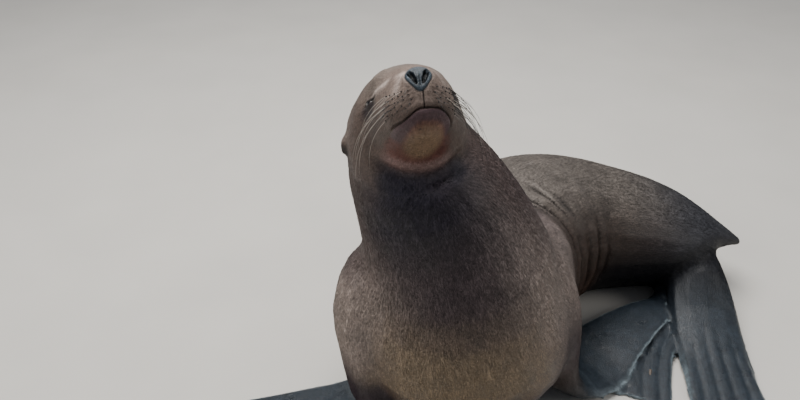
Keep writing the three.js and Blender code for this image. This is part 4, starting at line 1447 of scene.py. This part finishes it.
class SEALION_PG_whiskers(bpy.types.PropertyGroup):
    length: factor("Length", "Length against the rows' own", 1.0)
    radius: factor("Thickness", "Root radius, by share of length", 0.0052)
    bend: factor("Bend", "How far tips hang, by share of length", 0.42)
    root_bump: length_of("Root", "Radius of the dark bump at the root", 1.1 * MM)
    pale: factor("Pale share", "The share of whiskers that are pale", 0.36)
    seed: IntProperty(name="Seed", description="Seed of the whiskers' random places", default=11, min=0)


class SEALION_PG_stage(bpy.types.PropertyGroup):
    floor: colour_of("Floor", "Pale matt floor", "#c6c2bb")
    height: length_of("Lens height", "Height of the lens above the floor", 1.25)
    tilt: factor("Tilt", "How far the lens looks down, in degrees", 33.0)
    lens: factor("Lens", "Focal length on a 36 mm wide sensor", 36.0)
    room: factor("Room light", "Light from all round", 0.26)


# ---- operators ----
# Soft boxes: a name, where each stands, its width, its power and its colour.
LIGHTS = [
    ("overhead", (-0.4, 0.6, 3.0), 2.2, 150, (1.0, 0.99, 0.97)),
    ("left front", (-2.6, -1.6, 2.2), 1.6, 46, (1.0, 0.97, 0.93)),
    ("right", (2.8, -0.9, 1.8), 1.4, 26, (1.0, 0.97, 0.92)),
]
LIT_HEIGHT = 0.3  # the lights aim at this height over the frame's own middle
FLOOR_REACH = 6


def soft_light(name, place, size, energy, tint):
    data = bpy.data.lights.new(name, "AREA")
    data.size, data.energy, data.color = size, energy, tint
    light = placed(name, data)
    light.location = place
    aim = Vector((0, 0, LIT_HEIGHT)) - Vector(place)
    light.rotation_euler = aim.to_track_quat("-Z", "Y").to_euler()


class SEALION_OT_stage(bpy.types.Operator):
    """Set out the floor, the soft lights and the camera"""
    bl_idname = "sealion.stage"
    bl_label = "Stage"

    def execute(self, context):
        settings = context.scene.sealion_stage
        mesh = bpy.data.meshes.new("floor")
        corners = Vector((-1, -1, 0)), Vector((1, -1, 0)), Vector((1, 1, 0)), Vector((-1, 1, 0))
        mesh.from_pydata([corner * FLOOR_REACH for corner in corners], [], [(0, 1, 2, 3)])
        mesh.materials.append(floor_material(settings.floor))
        placed("floor", mesh)
        lens = bpy.data.cameras.new("camera")
        lens.lens = settings.lens
        lens.sensor_width = 36
        camera = placed("camera", lens)
        camera.location = Vector(UNDER_LENS) + Vector((0, 0, settings.height))
        camera.rotation_euler = (math.radians(90 - settings.tilt), 0, 0)
        context.scene.camera = camera
        for light in LIGHTS:
            soft_light(*light)
        world = bpy.data.worlds.new("soft room")
        world.use_nodes = True
        room = {"Color": (0.80, 0.87, 1.0, 1), "Strength": settings.room}
        fill(world.node_tree, world.node_tree.nodes["Background"], room)
        context.scene.world = world
        return {"FINISHED"}


class SEALION_OT_skin(bpy.types.Operator):
    """Make the one skin over the flesh, with its markings and its painted highlights and shade"""
    bl_idname = "sealion.skin"
    bl_label = "Skin"

    def execute(self, context):
        mesh, part = make_skin(context.scene.sealion_skin)
        mesh.name = "skin"
        points, normals, edges = points_of(mesh), normals_of(mesh), edges_of(mesh)
        colours = markings(points, normals, part, coat_colours(context.scene))
        number = np.array([PART_NAMES.index(p) for p in part], float)
        put_attribute(mesh, "markings", softened(colours, points, edges, part), "FLOAT_COLOR")
        put_attribute(mesh, "bare", bareness(points, part), "FLOAT")
        put_attribute(mesh, "streak_place", streak_place(points, part), "FLOAT_VECTOR")
        put_attribute(mesh, "lie", lie_of_coat(points, normals, edges, part), "FLOAT_VECTOR")
        put_attribute(mesh, "part", number, "FLOAT")
        mesh.materials.clear()
        mesh.materials.append(skin_material())
        add_piece("skin", mesh, "trunk_fur", *FLESH)
        return {"FINISHED"}


def values_of(mesh, name, width):
    field = {1: "value", 3: "vector", 4: "color"}[width]
    return rows_of(mesh.attributes[name].data, field, width)


def finished_skin(context):
    """The skin that the coat and whiskers grow from, with the values kept on it."""
    piece = context.scene.objects.get("skin")
    if piece is None:
        raise RuntimeError("The skin is made first")
    skin = Skin(piece.data)
    skin.colour = values_of(piece.data, "markings", 4)[:, :3]
    skin.flow = values_of(piece.data, "lie", 3)
    skin.part = values_of(piece.data, "part", 1)[:, 0].astype(int)
    skin.bare = values_of(piece.data, "bare", 1)[:, 0]
    skin.cover = 1 - bald(skin.points, skin.bare)[skin.triangles].max(1)
    return skin


class SEALION_OT_coat(bpy.types.Operator):
    """Grow the short coat in tufts that lie along the body"""
    bl_idname = "sealion.coat"
    bl_label = "Coat"

    def execute(self, context):
        settings = context.scene.sealion_coat
        skin = finished_skin(context)
        material = tuft_material()
        along = on_body(skin.points)[0][skin.triangles].mean(1)
        part = skin.part[skin.triangles[:, 0]]
        for number, piece in enumerate(COAT_PIECES):
            here = (part == PART_NAMES.index(piece["part"])) & (skin.cover > 0.05)
            if piece["part"] == "trunk":
                here &= (along >= piece["from"]) & (along < piece["to"])
            random = np.random.default_rng(settings.seed + number)
            made = tufts(skin, piece, np.flatnonzero(here), settings, random)
            mesh = coat_mesh(piece["name"], *made)
            mesh.materials.append(material)
            add_piece(piece["name"], mesh, piece["slot"])
        return {"FINISHED"}


class SEALION_OT_eyes(bpy.types.Operator):
    """Set the wet eyeballs behind the lids"""
    bl_idname = "sealion.eyes"
    bl_label = "Eyes"

    def execute(self, context):
        material = eye_material()
        for side, centre in EYES.items():
            mesh = eyeball_mesh(f"eyeball_{side}", centre, HEAD_LEFT * (1 if side == "L" else -1))
            mesh.materials.append(material)
            add_piece(f"eyeball_{side}", mesh, "eyeball", f"eye_{side}")
        return {"FINISHED"}


class SEALION_OT_whiskers(bpy.types.Operator):
    """Grow the whiskers in rows on the muzzle"""
    bl_idname = "sealion.whiskers"
    bl_label = "Whiskers"

    def execute(self, context):
        settings = context.scene.sealion_whiskers
        colours = context.scene.sealion_colours
        random = np.random.default_rng(settings.seed)
        places, turns, lengths, tones = whisker_roots(finished_skin(context), settings, random)
        mesh = bpy.data.meshes.new("whisker roots")
        mesh.from_pydata(places.tolist(), [], [])
        broad = np.maximum(lengths, LEAST_THICK)
        put_attribute(mesh, "turn", turns, "FLOAT_VECTOR")
        put_attribute(mesh, "size", np.column_stack([broad, broad, lengths]), "FLOAT_VECTOR")
        put_attribute(mesh, "tone", tones, "FLOAT")
        values = {"Radius": settings.radius, "Bend": settings.bend, "Root": settings.root_bump,
                  "Hair": whisker_material(colours), "Skin": follicle_material(colours)}
        result = grown(mesh, whisker_tree(), values)
        result.shade_smooth()
        add_piece("whiskers", result, "face_fur")
        return {"FINISHED"}


class SEALION_OT_claws(bpy.types.Operator):
    """Round off the claws on the hind feet"""
    bl_idname = "sealion.claws"
    bl_label = "Claws"

    def execute(self, context):
        material = claw_material()
        for name in CLAWS:
            mesh = claw_mesh(name)
            mesh.materials.clear()
            mesh.materials.append(material)
            add_piece(mesh.name, mesh, "claw_horn", name)
        return {"FINISHED"}


class SEALION_PT_sidebar(bpy.types.Panel):
    """The pieces of the sea lion, with their settings"""
    bl_idname = "SEALION_PT_sidebar"
    bl_label = "Sea lion"
    bl_space_type = "VIEW_3D"
    bl_region_type = "UI"
    bl_category = "Sea lion"

    def draw(self, context):
        for name, operators in SECTIONS.items():
            box = self.layout.box()
            for operator in operators:
                box.operator(f"sealion.{operator}")
            settings = getattr(context.scene, f"sealion_{name}")
            for prop in type(settings).__annotations__:
                box.prop(settings, prop)


# Each group of settings, and the operators that read it first.
SECTIONS = {
    "stage": ["stage"],
    "skin": ["skin", "eyes", "claws"],
    "coat": ["coat"],
    "whiskers": ["whiskers"],
    "colours": [],
}
SETTINGS = {
    "stage": SEALION_PG_stage,
    "skin": SEALION_PG_skin,
    "colours": SEALION_PG_colours,
    "coat": SEALION_PG_coat,
    "whiskers": SEALION_PG_whiskers,
}
CLASSES = (
    *SETTINGS.values(),
    SEALION_OT_stage,
    SEALION_OT_skin,
    SEALION_OT_eyes,
    SEALION_OT_claws,
    SEALION_OT_coat,
    SEALION_OT_whiskers,
    SEALION_PT_sidebar,
)


def register():
    for cls in CLASSES:
        bpy.utils.register_class(cls)
    for name, group in SETTINGS.items():
        setattr(bpy.types.Scene, f"sealion_{name}", PointerProperty(type=group))


def unregister():
    for name in SETTINGS:
        delattr(bpy.types.Scene, f"sealion_{name}")
    for cls in reversed(CLASSES):
        bpy.utils.unregister_class(cls)


def main():
    register()
    bpy.ops.sealion.stage()
    bpy.ops.sealion.skin()
    bpy.ops.sealion.eyes()
    bpy.ops.sealion.claws()
    bpy.ops.sealion.coat()
    bpy.ops.sealion.whiskers()


if __name__ == "__main__":
    main()
